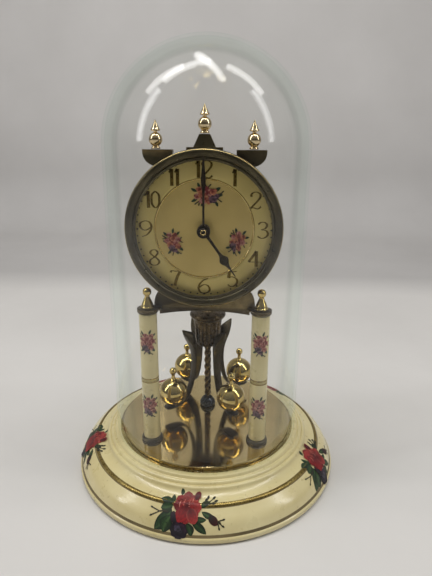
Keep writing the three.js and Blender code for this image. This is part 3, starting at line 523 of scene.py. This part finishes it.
def large_spray(spray):
    """The rose on the base: one red rose, a nearly black flower below it, leaves, a bud and twigs."""
    for leaf in (
        ((-10, 1.5), (-19.4, 3.4), 5.6, -0.5, 0.3), ((-10.5, -2), (-19.2, -16.2), 9.5, 1.6, 0.7),
        ((-10, 0), (-17.6, -3.0), 7.6, 0.6, 0.6), ((-9.5, -6), (-13.6, -17.0), 8.0, -0.8, 0.8),
        ((-9.6, 1.5), (-11.0, 8.0), 3.2, 0.3, 0.1), ((-5.4, 8), (-5.7, 12.6), 3.0, -0.4, 0.0),
        ((0.6, -9.5), (3.6, -17.0), 5.0, 0.6, 0.3), ((3.6, -8.5), (12.4, -15.6), 4.8, 0.5, 0.3),
        ((4.6, -6.4), (12.6, -7.2), 3.6, -0.5, 0.6), ((9.5, -2.6), (18.0, -6.4), 3.8, -0.5, 1.0),
        ((9.6, -0.4), (15.4, 4.6), 4.4, 0.9, 0.2),
    ):
        spray.leaf(*leaf)
    spray.sprig((11.4, 1.4), [(14.0, 7.4), (18.2, 7.0), (17.6, 2.4), (12.4, 5.4), (19.4, 4.6)], 1.7)
    spray.stem((15.5, -5.0), (21.6, -9.4), 0.6, -0.4)
    spray.petal((14.4, -5.0), (19.2, -10.4), 5.0, (LEAF_DARK, RED_DARK, RED_DARK), 0.5)
    spray.sprig((19.4, -8.4), [(23.2, -7.6), (22.6, -11.4), (20.2, -12.6)], 1.1)
    spray.sprig((-17.8, -5.2), [(-23.6, -4.0), (-22.8, -8.6)], 1.1)
    spray.stem((-18.4, -5.4), (-12.0, -4.4), 0.9, 0.3)
    spray.rose(-4.0, -14.2, 5.8, (INK_DARK, INK, PURPLE))
    spray.bloom(-4.4, -13.4, 2.6, (INK_DARK, INK, INK_PALE))
    spray.petal((-6.8, -10.5), (-8.8, -3.6), 4.4, (INK_DARK, INK, RED_DARK), 0.4)
    spray.rose(0.0, 0.4, 9.9, (RED_DARK, RED, RED_PALE), 1.05)
    for x, y, length in ((-2.4, 2.6, 6.0), (1.2, 2.0, 6.6), (3.4, 4.4, 5.0), (6.2, 5.2, 4.6), (-5.2, 1.0, 4.0)):
        stroke = blend_colour(RED_PALE, CREAM_STROKE, spray.random.random())
        spray.patch((x, y - length / 2), (x + 0.5, y + length / 2), 1.0,
                    lambda s, t: blend_colour(stroke, RED, abs(s)), 0.3, blunt=0.9, across=4)
    spray.petal((5.2, 5.0), (7.8, 11.4), 4.6, (RED_DARK, RED_DARK, RED), 0.6)
    spray.petal((0.6, 2.0), (-5.0, -9.4), 7.6, (RED_DARK, RED, RED), 0.4)
    spray.petal((1.6, -1.0), (5.6, -9.6), 7.0, (RED_DARK, RED, RED_PALE), 0.4)


def posy(spray, main):
    """A posy for the columns and dial: blooms in the main tones among pink and purple ones, with leaves."""
    for start, end, width in (
        ((-2.0, 4.6), (-4.8, 8.2), 1.7), ((1.4, 5.4), (2.8, 9.2), 1.6), ((3.4, 3.6), (6.4, 5.8), 1.6),
        ((2.4, -4.6), (5.4, -7.6), 2.0), ((0.2, -5.8), (1.4, -9.4), 1.9), ((-2.6, -5.2), (-5.6, -7.4), 1.6),
        ((-3.8, 1.0), (-6.6, 2.4), 1.5),
    ):
        spray.leaf(start, end, width, 0.2, 0.2)
    spray.sprig((-3.4, 3.2), [(-5.6, 5.6), (-5.9, 3.6)], 0.8)
    spray.sprig((3.6, 0.2), [(6.0, -1.6), (6.2, 1.4)], 0.8)
    spray.sprig((-0.8, -6.0), [(-2.4, -8.8), (3.2, -9.2)], 0.8)
    pink, purple = (PINK_DARK, PINK, PINK_PALE), (PURPLE_DARK, PURPLE, PURPLE_PALE)
    for bloom in (
        (-1.2, 5.0, 2.0, pink), (2.6, 4.2, 2.0, main), (-3.4, 1.8, 2.2, pink), (0.4, 2.0, 3.0, main),
        (3.4, 0.6, 2.2, pink), (-2.6, -1.6, 2.4, main), (1.4, -1.6, 2.2, pink), (-1.6, -4.2, 2.6, purple),
        (2.6, -3.8, 2.0, main), (0.2, -6.0, 1.6, purple),
    ):
        spray.bloom(*bloom)


def base_slope():
    """The base's outer profile as (distance up the slope, radius, height) from the lip to the seat."""
    outline = softened(BASE_OUTER[1:])
    made, travelled = [], 0.0
    for i, (r, z, _) in enumerate(outline):
        if i:
            travelled += math.hypot(r - outline[i - 1][0], z - outline[i - 1][1])
        made.append((travelled, r, z))
    return made


def on_base(azimuth, middle_distance):
    """Places (right, up, lift) on the base's slope, round the given azimuth."""
    slope = base_slope()
    smoothing = 0.9  # distance over which the slope's direction is taken
    mean_radius = 92

    def at(distance):
        distance = min(max(distance, slope[0][0]), slope[-1][0] - 0.01)
        for (d0, r0, z0), (d1, r1, z1) in zip(slope, slope[1:]):
            if d0 <= distance <= d1:
                t = (distance - d0) / max(d1 - d0, 1e-9)
                return Vector((lerp(r0, r1, t), lerp(z0, z1, t)))
        return Vector(slope[-1][1:])

    def place(x, y, lift):
        distance = middle_distance + y
        here = at(distance)
        run = at(distance + smoothing) - at(distance - smoothing)
        out = Vector((run.y, -run.x)).normalized()
        radius, height = here + out * lift
        angle = azimuth + x / mean_radius
        return (radius * math.cos(angle), radius * math.sin(angle), height)

    return place


def on_column(x0, y0, radius, azimuth, height):
    def place(x, y, lift):
        angle = azimuth + x / radius
        return (x0 + (radius + lift) * math.cos(angle), y0 + (radius + lift) * math.sin(angle), height + y)

    return place


def on_dial(x0, z0, front, turn=0.0):
    def place(x, y, lift):
        c, s = math.cos(turn), math.sin(turn)
        return (x0 + x * c - y * s, front - lift, z0 + x * s + y * c)

    return place


BASE_SPRAYS = 5
FIRST_SPRAY = math.radians(-95)
UP_THE_SLOPE = 19.4  # from the lip to the middle of a spray
DIAL_POSIES = (1.4, 21.8, 1.45, 1.1), (-20.2, -8.2, 0.25, 0.94), (21.4, -7.4, -0.4, 0.94)  # x, z, turn, scale


def build_flowers():
    for i in range(BASE_SPRAYS):
        spray = Spray(on_base(FIRST_SPRAY + i * TAU / BASE_SPRAYS, UP_THE_SLOPE), 1.0, 11 + i)
        large_spray(spray)
        spray.build(f"base_flowers_{i + 1}")
    for side in ("left", "right"):
        at = centre(f"column_tube_{side}")
        radius = box(f"column_tube_{side}")[1].x - at.x
        for name, height in (("upper", 111.5), ("lower", 62.5)):
            spray = Spray(on_column(at.x, at.y, radius, FRONT, height), 0.98, len(name) + height)
            posy(spray, (PINK_DARK, PINK, PINK_PALE) if name == "upper" else (RED_DARK, ROSE, PINK_PALE))
            spray.build(f"column_flowers_{side}_{name}")
    dial = centre("dial")
    front = box("dial")[0].y
    for i, (x, z, turn, scale) in enumerate(DIAL_POSIES):
        spray = Spray(on_dial(x, dial.z + z, front, turn), scale, 31 + i)
        spray.lift = 0.02
        posy(spray, (AMBER_DARK, AMBER, AMBER_PALE))
        spray.build(f"dial_flowers_{i + 1}")


# ---- columns ----

BAND_SPAN = 2
NUT_HEIGHT = 14.1
NUT = [
    (2.2, 0, 0.1), (4.6, 0, 0.3), (4.8, 0.9, 0.4), (4.1, 1.5, 0.2), (3.9, 2.5, 0.4), (2.6, 5.6, 2), (1.5, 8.1, 0.5),
    (1.9, 8.7, 0.3), (2.7, 9.5, 1.0), (3.0, 11.1, 1.5), (2.7, 12.7, 1.0), (1.6, 13.8, 0.8), (0, NUT_HEIGHT),
]

def foot_profile(r, low, high):
    return [(2.6, low), (r, low, 0.3), (r, low + 1.3, 0.5), (r - 0.5, high, 0.5), (2.6, high)]


def head_profile(r, low, high):
    return [(2.6, low), (r - 0.8, low, 0.3), (r, low + 0.9, 0.5), (r, high, 0.2), (2.6, high)]


def tube_profile(r, low, high):
    """A plain tube with two gilt rings near its middle and a painted band between them."""
    profile = [(3, low), (r, low, 0.4)]
    ring = low + 0.475 * (high - low)
    for z, after in ((ring, BAND_SPAN), (ring + 2.6, 0)):
        profile += [(r, z - 0.5, 0.1, GILT_SPAN), (r + 0.12, z - 0.3, 0.1, GILT_SPAN),
                    (r + 0.12, z + 0.3, 0.1, GILT_SPAN), (r, z + 0.5, 0.1, after)]
    return [*profile, (r, high, 0.4), (3, high)]


def nut_profile(_, low, high):
    foot = high - NUT_HEIGHT
    return [(0, low), (2.2, low, 0.2), *((r, foot + z, *rest) for r, z, *rest in NUT)]


def build_columns():
    for side in ("left", "right"):
        at = centre(f"column_tube_{side}")

        def turned(name, slot, materials, node, profile, segments=48, **how):
            low, high = box(f"{node}_{side}")
            outline = profile((high.x - low.x) / 2, low.z, high.z)
            mesh = lathe(outline, segments, at=(at.x, at.y, 0), **how)
            piece(f"{name}_{side}", "base", mesh, materials, [f"{node}_{side}"])

        turned("column_foot", "bronze", [BRONZE], "column_collar", foot_profile, closed=True)
        turned("column_enamel", "column_enamel", [CREAM, GILT, BAND], "column_tube", tube_profile, 64,
               closed=True, steps=2)
        turned("column_head", "bronze", [BRONZE], "column_cap", head_profile, closed=True)
        turned("column_nut", "polished_brass", [BRASS], "column_tie_rod", nut_profile, 40)


# ---- dial, bezel and hands ----

FIGURE_HEIGHT = 10.4
FIGURE_RING = 37.6
# Each figure as strokes that a broad pen follows, through points across and up in hundredths of its height.
STROKES = {
    "0": ["30,100 7,80 3,50 7,20 30,0 53,20 57,50 53,80 30,100"],
    "1": ["0,80 9,86 17,100", "18,100 18,50 18,0"],
    "2": ["8,72 5,84 16,97 34,100 52,88 52,68 38,46 18,22 3,3", "3,4 20,6 42,0 58,14"],
    "3": ["6,86 20,99 40,98 50,82 42,62 24,54 46,48 56,28 46,8 24,0 4,12"],
    "4": ["60,30 30,30 0,30", "0,30 22,65 42,100", "42,100 42,50 42,0"],
    "5": ["52,100 32,97 12,99", "12,99 10,78 8,56", "8,56 26,64 50,52 55,28 42,6 20,0 3,12"],
    "6": ["48,98 26,86 8,58 4,30 14,6 32,0 52,12 55,34 44,54 26,56 8,40"],
    "7": ["3,86 8,98 32,95 58,100", "58,100 38,56 24,0"],
    "8": ["50,80 38,98 18,97 9,80 22,62 42,46 55,24 44,4 20,1 5,18 12,38 34,56 50,80"],
    "9": ["12,2 34,14 52,42 56,70 46,94 28,100 8,88 5,66 16,46 34,44 52,60"],
}
FIGURE_SPREAD = {"0": 0.88, "1": 1.0, "3": 1.22, "6": 1.36, "8": 1.2, "9": 1.38}
USUAL_SPREAD = 1.14
FIGURE_WIDTH = {"1": 0.27}
USUAL_WIDTH = 0.60
FIGURE_GAP = 0.08
THIN, THICK, THICK_BAR = 0.05, 0.145, 0.2  # pen widths, the last one for short straight strokes


def pen_stroke(stroke, spread):
    """A ribbon along a smooth line, wide where it runs upright and narrow where it runs level."""
    points = [tuple(int(n) / 100 for n in pair.split(",")) for pair in stroke.split()]
    line = [Vector((x * spread, z)) for x, z in smooth_path(points, 5)]
    edges = []
    thick = THICK_BAR if len(points) < 4 else THICK
    for i, at in enumerate(line):
        run = (line[min(i + 1, len(line) - 1)] - line[max(i - 1, 0)]).normalized()
        side = Vector((-run.y, run.x)) * (lerp(THIN, thick, abs(run.y) ** 1.5) / 2)
        edges.append((at + side, at - side))
    return edges


def figure_mesh(text, scale, x0, z0, front, back):
    """The figures of a number as raised ribbons, centred on a point of the dial."""
    meshes = []
    spreads = [FIGURE_SPREAD.get(c, USUAL_SPREAD) for c in text]
    widths = [FIGURE_WIDTH.get(c, USUAL_WIDTH * spread) for c, spread in zip(text, spreads)]
    cursor = -(sum(widths) + FIGURE_GAP * (len(text) - 1)) / 2
    for character, spread, width in zip(text, spreads, widths):
        for stroke in STROKES[character]:
            ribbon = pen_stroke(stroke, spread)
            points = [(x0 + (x + cursor) * scale, y, z0 + (z - 0.5) * scale) for left, right in ribbon
                      for (x, z), y in ((left, back), (right, back), (right, front), (left, front))]
            meshes.append((points, tube_faces(len(ribbon), 4), []))
        cursor += width + FIGURE_GAP
    return combined(*meshes)


def build_dial():
    low, high = box("dial")
    at = (0, 0, (low.z + high.z) / 2)
    radius = (high.z - low.z) / 2
    front, back = low.y, high.y
    inner = front + 0.25  # the dial's middle lies a little deeper than its chapter ring
    disc = lathe([(3.4, inner, 0.1), (31.4, inner, 0.3), (32.2, inner, 0.1, 1), (33.4, front, 0.6, 1),
                  (radius - 0.4, front, 0.3), (radius, back), (3.4, back)], 128, closed=True, axis="Y", at=at)
    piece("dial_plate", "base", disc, [DIAL_PAINT, CHAPTER_PAINT], ["dial"])
    gilt_ring = lathe([(31.2, inner), (31.4, front - 0.15, 0.2), (31.8, front - 0.3, 0.3), (32.2, front - 0.15, 0.2),
                       (32.4, inner)], 128, axis="Y", at=at)
    piece("dial_gilt_ring", "base", gilt_ring, [BRASS])
    raised = front - 0.05
    numbers = []
    for hour in range(1, 13):
        angle = TAU * hour / 12
        x, z = FIGURE_RING * math.sin(angle), FIGURE_RING * math.cos(angle)
        numbers.append(figure_mesh(str(hour), FIGURE_HEIGHT, x, at[2] + z, raised, front + 0.05))
    piece("dial_figures", "base", combined(*numbers), [FIGURES])
    dots = []
    for minute in range(60):
        angle = TAU * minute / 60
        hour_mark = minute % 5 == 0
        size, ring = (0.95, 43.1) if hour_mark else (0.5, 43.3)
        sides = 3 if hour_mark else 10
        corners = [angle + math.pi + TAU * k / sides for k in range(sides)]
        outline = [(ring * math.sin(angle) + size * math.sin(corner),
                    at[2] + ring * math.cos(angle) + size * math.cos(corner)) for corner in corners]
        dots.append(slab(outline, raised, front + 0.05))
    piece("dial_minute_marks", "base", combined(*dots), [HANDS])


def build_bezel():
    low, high = box("bezel")
    at = (0, 0, (low.z + high.z) / 2)
    radius = (high.z - low.z) / 2
    lip, front, back, rebate = 43.1, low.y, high.y, -34.7
    # The narrow span in the brighter movement brass at the outer edge is a painted highlight: the thin bright line that
    # runs round the bezel.
    highlight_edge = 1
    profile = [
        (47.4, rebate, 0.1), (lip, front + 2.4, 0.1), (lip, front + 1.6, 0.3), (44.4, front + 1.1, 0.3),
        (45.0, front + 1.5, 0.2), (45.5, front + 0.7, 0.4), (47.2, front + 0.1, 0.8), (48.8, front, 0.6),
        (49.65, front + 0.55, 0.2, highlight_edge), (49.9, front + 0.85, 0.1), (radius, front + 1.8, 0.3),
        (radius, back, 0.3), (49.2, back), (49.2, rebate),
    ]
    ring = lathe(profile, 160, closed=True, axis="Y", at=at)
    piece("bezel_ring", "base", ring, [BRONZE, MOVEMENT], ["bezel"])


def hand_outline(right_half):
    right = smooth_path(right_half, 4)
    left = [(-x, z) for x, z in reversed(right) if x > 0.01]
    return right + left


HOUR_HALF = [(1.3, 3.4), (1.0, 5.5), (0.85, 12), (0.9, 17.5), (1.4, 19.6), (3.0, 22.2), (2.7, 24.2), (1.3, 26.6),
             (0.8, 29), (0.5, 32.6), (0.25, 35.6), (0.0, 36)]
MINUTE_HALF = [(1.0, 2.4), (0.75, 4.5), (0.7, 12), (0.75, 23), (1.3, 28), (1.5, 32.5), (1.1, 37), (0.75, 41), (0.4, 45),
               (0.0, 45.4)]


HOUR_TURN = math.radians(145)
HAND_THICK = 0.7


def build_hands():
    dial_z = centre("dial").z
    for name, body, half, hub, hole, turn in (
        ("hour", "hour", HOUR_HALF, 4.2, 2.9, HOUR_TURN),
        ("minute", "centre", MINUTE_HALF, 4.3, 1.9, 0.0),
    ):
        front = box(f"{name}_hand")[0].y
        back = front + HAND_THICK
        boss = lathe([(hole, front), (hub - 0.3, front, 0.2), (hub, front + 0.3, 0.2), (hub, back, 0.1),
                      (hole, back)], 48, closed=True, axis="Y")
        parts = [slab(hand_outline(half), front, back), boss]
        if name == "hour":
            foot = box("dial")[0].y - 0.8
            parts.append(lathe([(hole, front + 0.1), (3.9, front + 0.1), (3.9, foot, 0.2), (hole, foot)], 40,
                               closed=True, axis="Y"))
        spin = Matrix.Translation((0, 0, dial_z)) @ Matrix.Rotation(turn, 4, "Y")
        piece(f"{name}_pointer", body, moved(combined(*parts), spin), [HANDS], [f"{name}_hand"], bevel=0.15)
    low, high = box("hand_nut")
    front, back = low.y, high.y
    nut = lathe([(0, front + 0.9), (1.0, front + 0.9, 0.1), (1.15, front + 0.4, 0.1, 1), (1.5, front, 0.2, 1),
                 (1.85, front + 0.4, 0.2, 1), (1.95, front + 0.9, 0.1), (2.5, front + 1.3, 0.3), (2.6, back, 0.1),
                 (1.2, back)], 40, axis="Y", at=(0, 0, dial_z))
    piece("hand_collet", "centre", nut, [HANDS, FLOOR_BRASS], ["hand_nut"])


# ---- finials ----


FINIAL = [
    (0, 0), (2.8, 0, 0.4), (3.0, 0.7, 0.5), (2.4, 1.5, 0.3), (2.0, 1.8, 0.2), *arc(4.3, 5.7, -60, 65, 12),
    (1.1, 9.9, 0.2), (1.2, 10.5, 0.2), (2.9, 10.8, 0.3), (3.15, 11.4, 0.3), (2.3, 12.6, 0.8), (1.75, 14.0, 1.0),
    (0.8, 15.8, 1.0), (0.3, 17.2, 0.2), (0, 17.5),
]


def build_finials():
    for name in ("centre", "left", "right"):
        at = centre(f"finial_{name}")
        foot = box(f"finial_{name}")[0].z
        mesh = lathe([(r, foot + z, *rest) for r, z, *rest in FINIAL], 48, at=(at.x, at.y, 0))
        piece(f"finial_turned_{name}", "base", mesh, [PALE_BRASS], [f"finial_{name}"])


# ---- pendulum ----

ARM_PLATE = 0.8  # the leaf's outward thickness, and its inward one where it is flat
ARM_STATIONS = [  # distance from the axis, height, half width, depth towards the axis
    (23, 103.4, 0.4, 0.5), (21.4, 99.6, 2.2, 4.2), (19.4, 95.6, 3.6, 7.0), (17.2, 91.6, 4.4, 5.8),
    (15.2, 87.6, 4.3, 3.6), (13.9, 83.4, 3.9, 1.8), (13.2, 78, 3.5, 0.8), (13.4, 70, 3.2, 0.8), (14.8, 61, 3.1, 0.8),
    (17.1, 53, 3.1, 0.8), (20.6, 46.4, 3.2, 0.8), (25.4, 42.6, 3.2, 0.8), (31, 41.4, 3.6, 0.8),
    (36.6, 41.3, 3.8, 0.8), (39.6, 41.4, 2.6, 0.8),
]
ARM_ACROSS = 6  # faces across each side of the leaf
BALL, KNOB = 11, 2.85  # radii
CROWN = [  # radius, height above the crown's foot, fillet
    (0, 0), (7.8, 0, 0.3), (8.8, 0.8, 0.6), (9.7, 3, 1), (10.1, 7, 3), (10.4, 13, 4), (10.8, 18, 2), (11.3, 21, 1),
    (11.1, 22, 0.4), (12.8, 22.9, 0.8), (14.2, 24.6, 0.9), (14.1, 26.3, 0.9), (12.9, 27.5, 0.8), (7, 28.9, 0.8),
]
BAR_FOOT, BAR_REACH, BAR_TURNS = 42, 2.75, 1.85


def leaf_arm():
    """A bent bronze leaf that ends in a horn: a ridged strip, thick towards the axis at its tip."""
    stations = smooth_path(ARM_STATIONS, 4)
    points = []
    for i, (r, z, half, depth) in enumerate(stations):
        before, after = stations[max(i - 1, 0)], stations[min(i + 1, len(stations) - 1)]
        run = Vector((after[0] - before[0], after[1] - before[1])).normalized()
        normal = Vector((-run.y, run.x))
        for side, deep in ((1, ARM_PLATE), (-1, depth)):
            for j in range(ARM_ACROSS + 1):
                s = (2 * j / ARM_ACROSS - 1) * side
                out = side * deep * (1 - 0.45 * s * s)
                points.append((r + normal.x * out, s * half, z + normal.y * out))
    return points, tube_faces(len(stations), 2 * (ARM_ACROSS + 1)), []


def twisted_bar(low, high, reach, turns, sides=24, steps=110):
    """A square-ish bar twisted about its own length."""
    points = []
    for i in range(steps + 1):
        twist = TAU * turns * i / steps
        z = lerp(low, high, i / steps)
        for k in range(sides):
            angle = TAU * k / sides
            r = reach * (0.84 + 0.16 * math.cos(4 * (angle - twist)))
            points.append((r * math.cos(angle), r * math.sin(angle), z))
    return points, tube_faces(steps + 1, sides), []


def build_pendulum():
    axis = centre("pendulum_crown")
    hang = Matrix.Translation((axis.x, axis.y, 0))
    foot, head = (corner.z for corner in box("pendulum_crown"))

    def flutes(angle, z):
        share = max(0, min(1, (z - foot - 1) / 4)) * max(0, min(1, (foot + 21.2 - z) / 2))
        return 1 + 0.1 * share * (abs(math.cos(7 * angle)) - 1)

    profile = [(r, foot + z, *rest) for r, z, *rest in CROWN]
    crown = lathe([*profile, (5, head - 0.4, 0.5), (4.4, head, 0.2), (0, head)], 112, flutes=flutes)
    piece("pendulum_crown_fluted", "pendulum", moved(crown, hang), [RED_BRONZE], ["pendulum_crown"])

    low, high = box("pendulum_rod")
    bar = twisted_bar(BAR_FOOT, high.z, BAR_REACH, BAR_TURNS)
    boss = lathe([(0, low.z), (1.3, low.z, 0.3), (1.5, low.z + 0.6, 0.2), (1.5, 41.2, 0.3), (2.6, 41.5, 0.4),
                  (2.75, 42.6, 0.5), (2.3, 43.3, 0.3), (0, 43.3)], 32)
    piece("pendulum_bar", "pendulum", moved(combined(bar, boss), hang), [RED_BRONZE], ["pendulum_rod"])

    for i in range(1, 5):
        ball = centre(f"pendulum_ball_{i}")
        azimuth = math.atan2(ball.y - axis.y, ball.x - axis.x)
        turn = hang @ Matrix.Rotation(azimuth, 4, "Z")
        piece(f"pendulum_leaf_{i}", "pendulum", moved(leaf_arm(), turn), [ARM_BRONZE],
              [f"pendulum_arm_{i}"], sharp=50)
        low, high = box(f"pendulum_ball_{i}")
        middle = low.z + BALL
        profile = [
            (0, low.z), *arc(BALL, middle, -84, 73, 6), (2.4, middle + 11.0, 0.3), (1.5, middle + 11.8, 0.6),
            (1.3, middle + 14.4, 0.4), *arc(KNOB, high.z - KNOB, -54, 90, 12), (0, high.z),
        ]
        mesh = lathe(profile, 64, at=(ball.x, ball.y, 0))
        piece(f"pendulum_weight_{i}", "pendulum", mesh, [BRASS], [f"pendulum_ball_{i}"])

    low, high = box("lock_cup")
    cup = lathe([(0, low.z), (2.2, low.z, 0.2), (2.2, 32.4, 0.1), (5.8, 32.4, 0.4), (6.4, 33.3, 0.5), (6.1, 35.2, 1.2),
                 (4.9, 37.5, 1.2), (3.6, high.z, 0.3), (3.2, 38.4, 0.3), (3.2, 34.2, 0.4), (0, 34)],
                56, at=(axis.x, axis.y, 0))
    piece("lock_cup_turned", "lock_cup", cup, [CUP_STEEL], ["lock_cup"])


# ---- dome ----


DOME_WALL = 2.0


def build_dome():
    low, high = box("glass_dome")
    radius = (high.y - low.y) / 2
    inside = radius - DOME_WALL
    shoulder = high.z - radius
    profile = [(0, shoulder + inside), *reversed(arc(inside, shoulder, 0, 90, 3)), (inside, low.z, 0.9),
               (radius, low.z, 0.9), *arc(radius, shoulder, 0, 90, 3), (0, high.z)]
    mesh = lathe(profile, 144)
    piece("dome_glass_shell", "dome", mesh, [GLASS], ["glass_dome"], sharp=80)


# ---- CAD pieces that stay ----

USUAL = (MOVEMENT, 0.15)  # material and width of the softened edges
# The bridge takes the arms' darker bronze rather than the bezel's: painted shade, for the shade it lies in beneath the
# bezel.
KEPT = {
    "floor_plate": (FLOOR_BRASS, 0.4), "bridge": (ARM_BRONZE, 0.45), "gallery_plate": (BRONZE, 0.45),
    "lock_lever": (BRASS, 0.2), "mainspring": (STEEL, 0), "suspension_spring": (STEEL, 0),
    "centre_wheel": (MOVEMENT, 0.06), "third_wheel": (MOVEMENT, 0.06), "escape_wheel": (MOVEMENT, 0.05),
    "anchor": (STEEL, 0.1), "click": (STEEL, 0.12), "ratchet_wheel": (STEEL, 0.08), "winding_arbor": (STEEL, 0.12),
}


def finish_cad_nodes():
    for name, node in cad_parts.items():
        if node.hide_render:
            continue
        material, width = KEPT.get(name, USUAL)
        node.data.materials.clear()
        node.data.materials.append(material)
        weld = node.modifiers.new("weld", "WELD")
        weld.merge_threshold = 1e-6
        if width:
            add_bevel(node, width)


# ---- stage, light and camera ----


# Painted light and shade: each tone multiplies the paper's colour from one distance (Y) or height (Z) to another, in
# metres. It is darker on the floor behind the clock, and lighter again further back and higher up the wall.
PAPER_LIGHT_AND_SHADE = ("Y", 0.42, 0.53, (0.745, 0.745, 0.755)), ("Y", 0.53, 1.0, (1.19,) * 3), ("Z", 0.0, 0.3, (1.2,) * 3)
FLOOR_FRONT, FOLD, BEND, REACH, TALL = -2.2, 1.05, 0.16, 3.4, 3.4


def paper():
    """Grey-white paper, deeper in tone behind the clock and up the wall from painted shade, with painted light lifting
    it again further back and higher up.
    """
    look = Look("backdrop_paper")
    colour = look.ramp(look.noise(5, 5.0), ((0.625, 0.61, 0.59), (0.655, 0.64, 0.62), (0.685, 0.67, 0.65)))
    place = look.node("SeparateXYZ", {"Vector": look.node("TexCoord").outputs["Object"]}).outputs
    # lays the painted light and shade over the paper's own colour
    for part, start, end, tone in PAPER_LIGHT_AND_SHADE:
        share = look.spread(place[part], 0, 1, start, end)
        colour = look.mix(share, colour, look.mix(1.0, colour, tone, "MULTIPLY"))
    return look.done("BsdfPrincipled", {
        "Base Color": colour, "Roughness": look.spread(look.noise(120.0), 0.7, 0.85),
        "Normal": look.bump(look.noise(300.0, 6.0), 0.3, 0.15),
    })


def build_stage():
    """A pale floor that curves up into a pale wall."""
    line = [(FLOOR_FRONT, 0.0), (FOLD - BEND, 0.0)]
    for step in range(1, 13):
        a = math.pi / 2 * step / 12
        line.append((FOLD - BEND + BEND * math.sin(a), BEND - BEND * math.cos(a)))
    line.append((FOLD, TALL))
    points = [(x, y, z) for y, z in line for x in (-REACH, REACH)]
    faces = [(2 * i, 2 * i + 1, 2 * i + 3, 2 * i + 2) for i in range(len(line) - 1)]
    data = bpy.data.meshes.new("backdrop")
    data.from_pydata(points, [], faces)
    data.shade_smooth()
    data.materials.append(paper())
    backdrop = bpy.data.objects.new("backdrop", data)
    bpy.context.scene.collection.objects.link(backdrop)


def area_light(name, at, towards, size, power, colour=(1, 1, 1)):
    data = bpy.data.lights.new(name, "AREA")
    data.shape = "RECTANGLE"
    data.size, data.size_y = size
    data.energy = power
    data.color = colour
    light = bpy.data.objects.new(name, data)
    light.location = at
    light.rotation_euler = (Vector(towards) - Vector(at)).to_track_quat("-Z", "Y").to_euler()
    bpy.context.scene.collection.objects.link(light)


STRIP = (0.13, 0.9)
CEILING = (-0.83, -0.37, 0.08, 0.77)  # where across the room the ceiling's strips hang
WARM_WHITE = (1.0, 0.985, 0.96)


def build_light():
    for i, x in enumerate(CEILING):
        area_light(f"ceiling_{i + 1}", (x, -0.08, 1.5), (x * 0.3, 0, 0), STRIP, 3.55, WARM_WHITE)
    area_light("left_strip", (-0.95, -0.35, 0.75), (0, 0, 0.15), STRIP, 2.7)
    area_light("right_strip", (0.95, -0.3, 0.75), (0, 0, 0.15), STRIP, 2.4)


def build_world():
    """An even grey room, brighter overhead and darker behind the viewer."""
    room = Look("studio", bpy.data.worlds, "OutputWorld")
    part = room.node("SeparateXYZ", {0: room.node("TexCoord").outputs["Generated"]}).outputs
    colour = room.ramp(part["Z"], ((0.16, 0.155, 0.15), (0.62, 0.61, 0.6)), (0, 1))
    share = room.spread(part["Y"], 0.5, 1.0, -1.0, -0.2)
    shade = room.node("VectorMath", {0: colour, "Scale": share}, operation="SCALE").outputs[0]
    bpy.context.scene.world = room.done("Background", {"Color": shade, "Strength": 0.68})


PITCH, YAW, ROLL = 17.3, -1.73, 0.40
CAMERA_AT = (0.017, -0.3359, 0.2433)
SENSOR, LENS = 36, 29.69


def build_camera():
    """The photograph's viewpoint: close in front of the dial, a little above it, looking down."""
    pitch, yaw, roll = (math.radians(degrees) for degrees in (PITCH, YAW, ROLL))
    forward = Vector((math.sin(yaw) * math.cos(pitch), math.cos(yaw) * math.cos(pitch), -math.sin(pitch)))
    level = Vector((math.cos(yaw), -math.sin(yaw), 0))
    upright = level.cross(forward)
    right = level * math.cos(roll) + upright * math.sin(roll)
    up = upright * math.cos(roll) - level * math.sin(roll)
    data = bpy.data.cameras.new("camera")
    data.sensor_width = SENSOR
    data.lens = LENS
    camera = bpy.data.objects.new("camera", data)
    turned = Matrix((right, up, -forward)).transposed().to_4x4()
    camera.matrix_world = Matrix.Translation(CAMERA_AT) @ turned
    bpy.context.scene.collection.objects.link(camera)
    bpy.context.scene.camera = camera
    bpy.context.scene.view_settings.view_transform = "Standard"


build_base()
build_columns()
build_dial()
build_bezel()
build_hands()
build_finials()
build_pendulum()
build_dome()
build_flowers()
finish_cad_nodes()
build_stage()
build_light()
build_world()
build_camera()
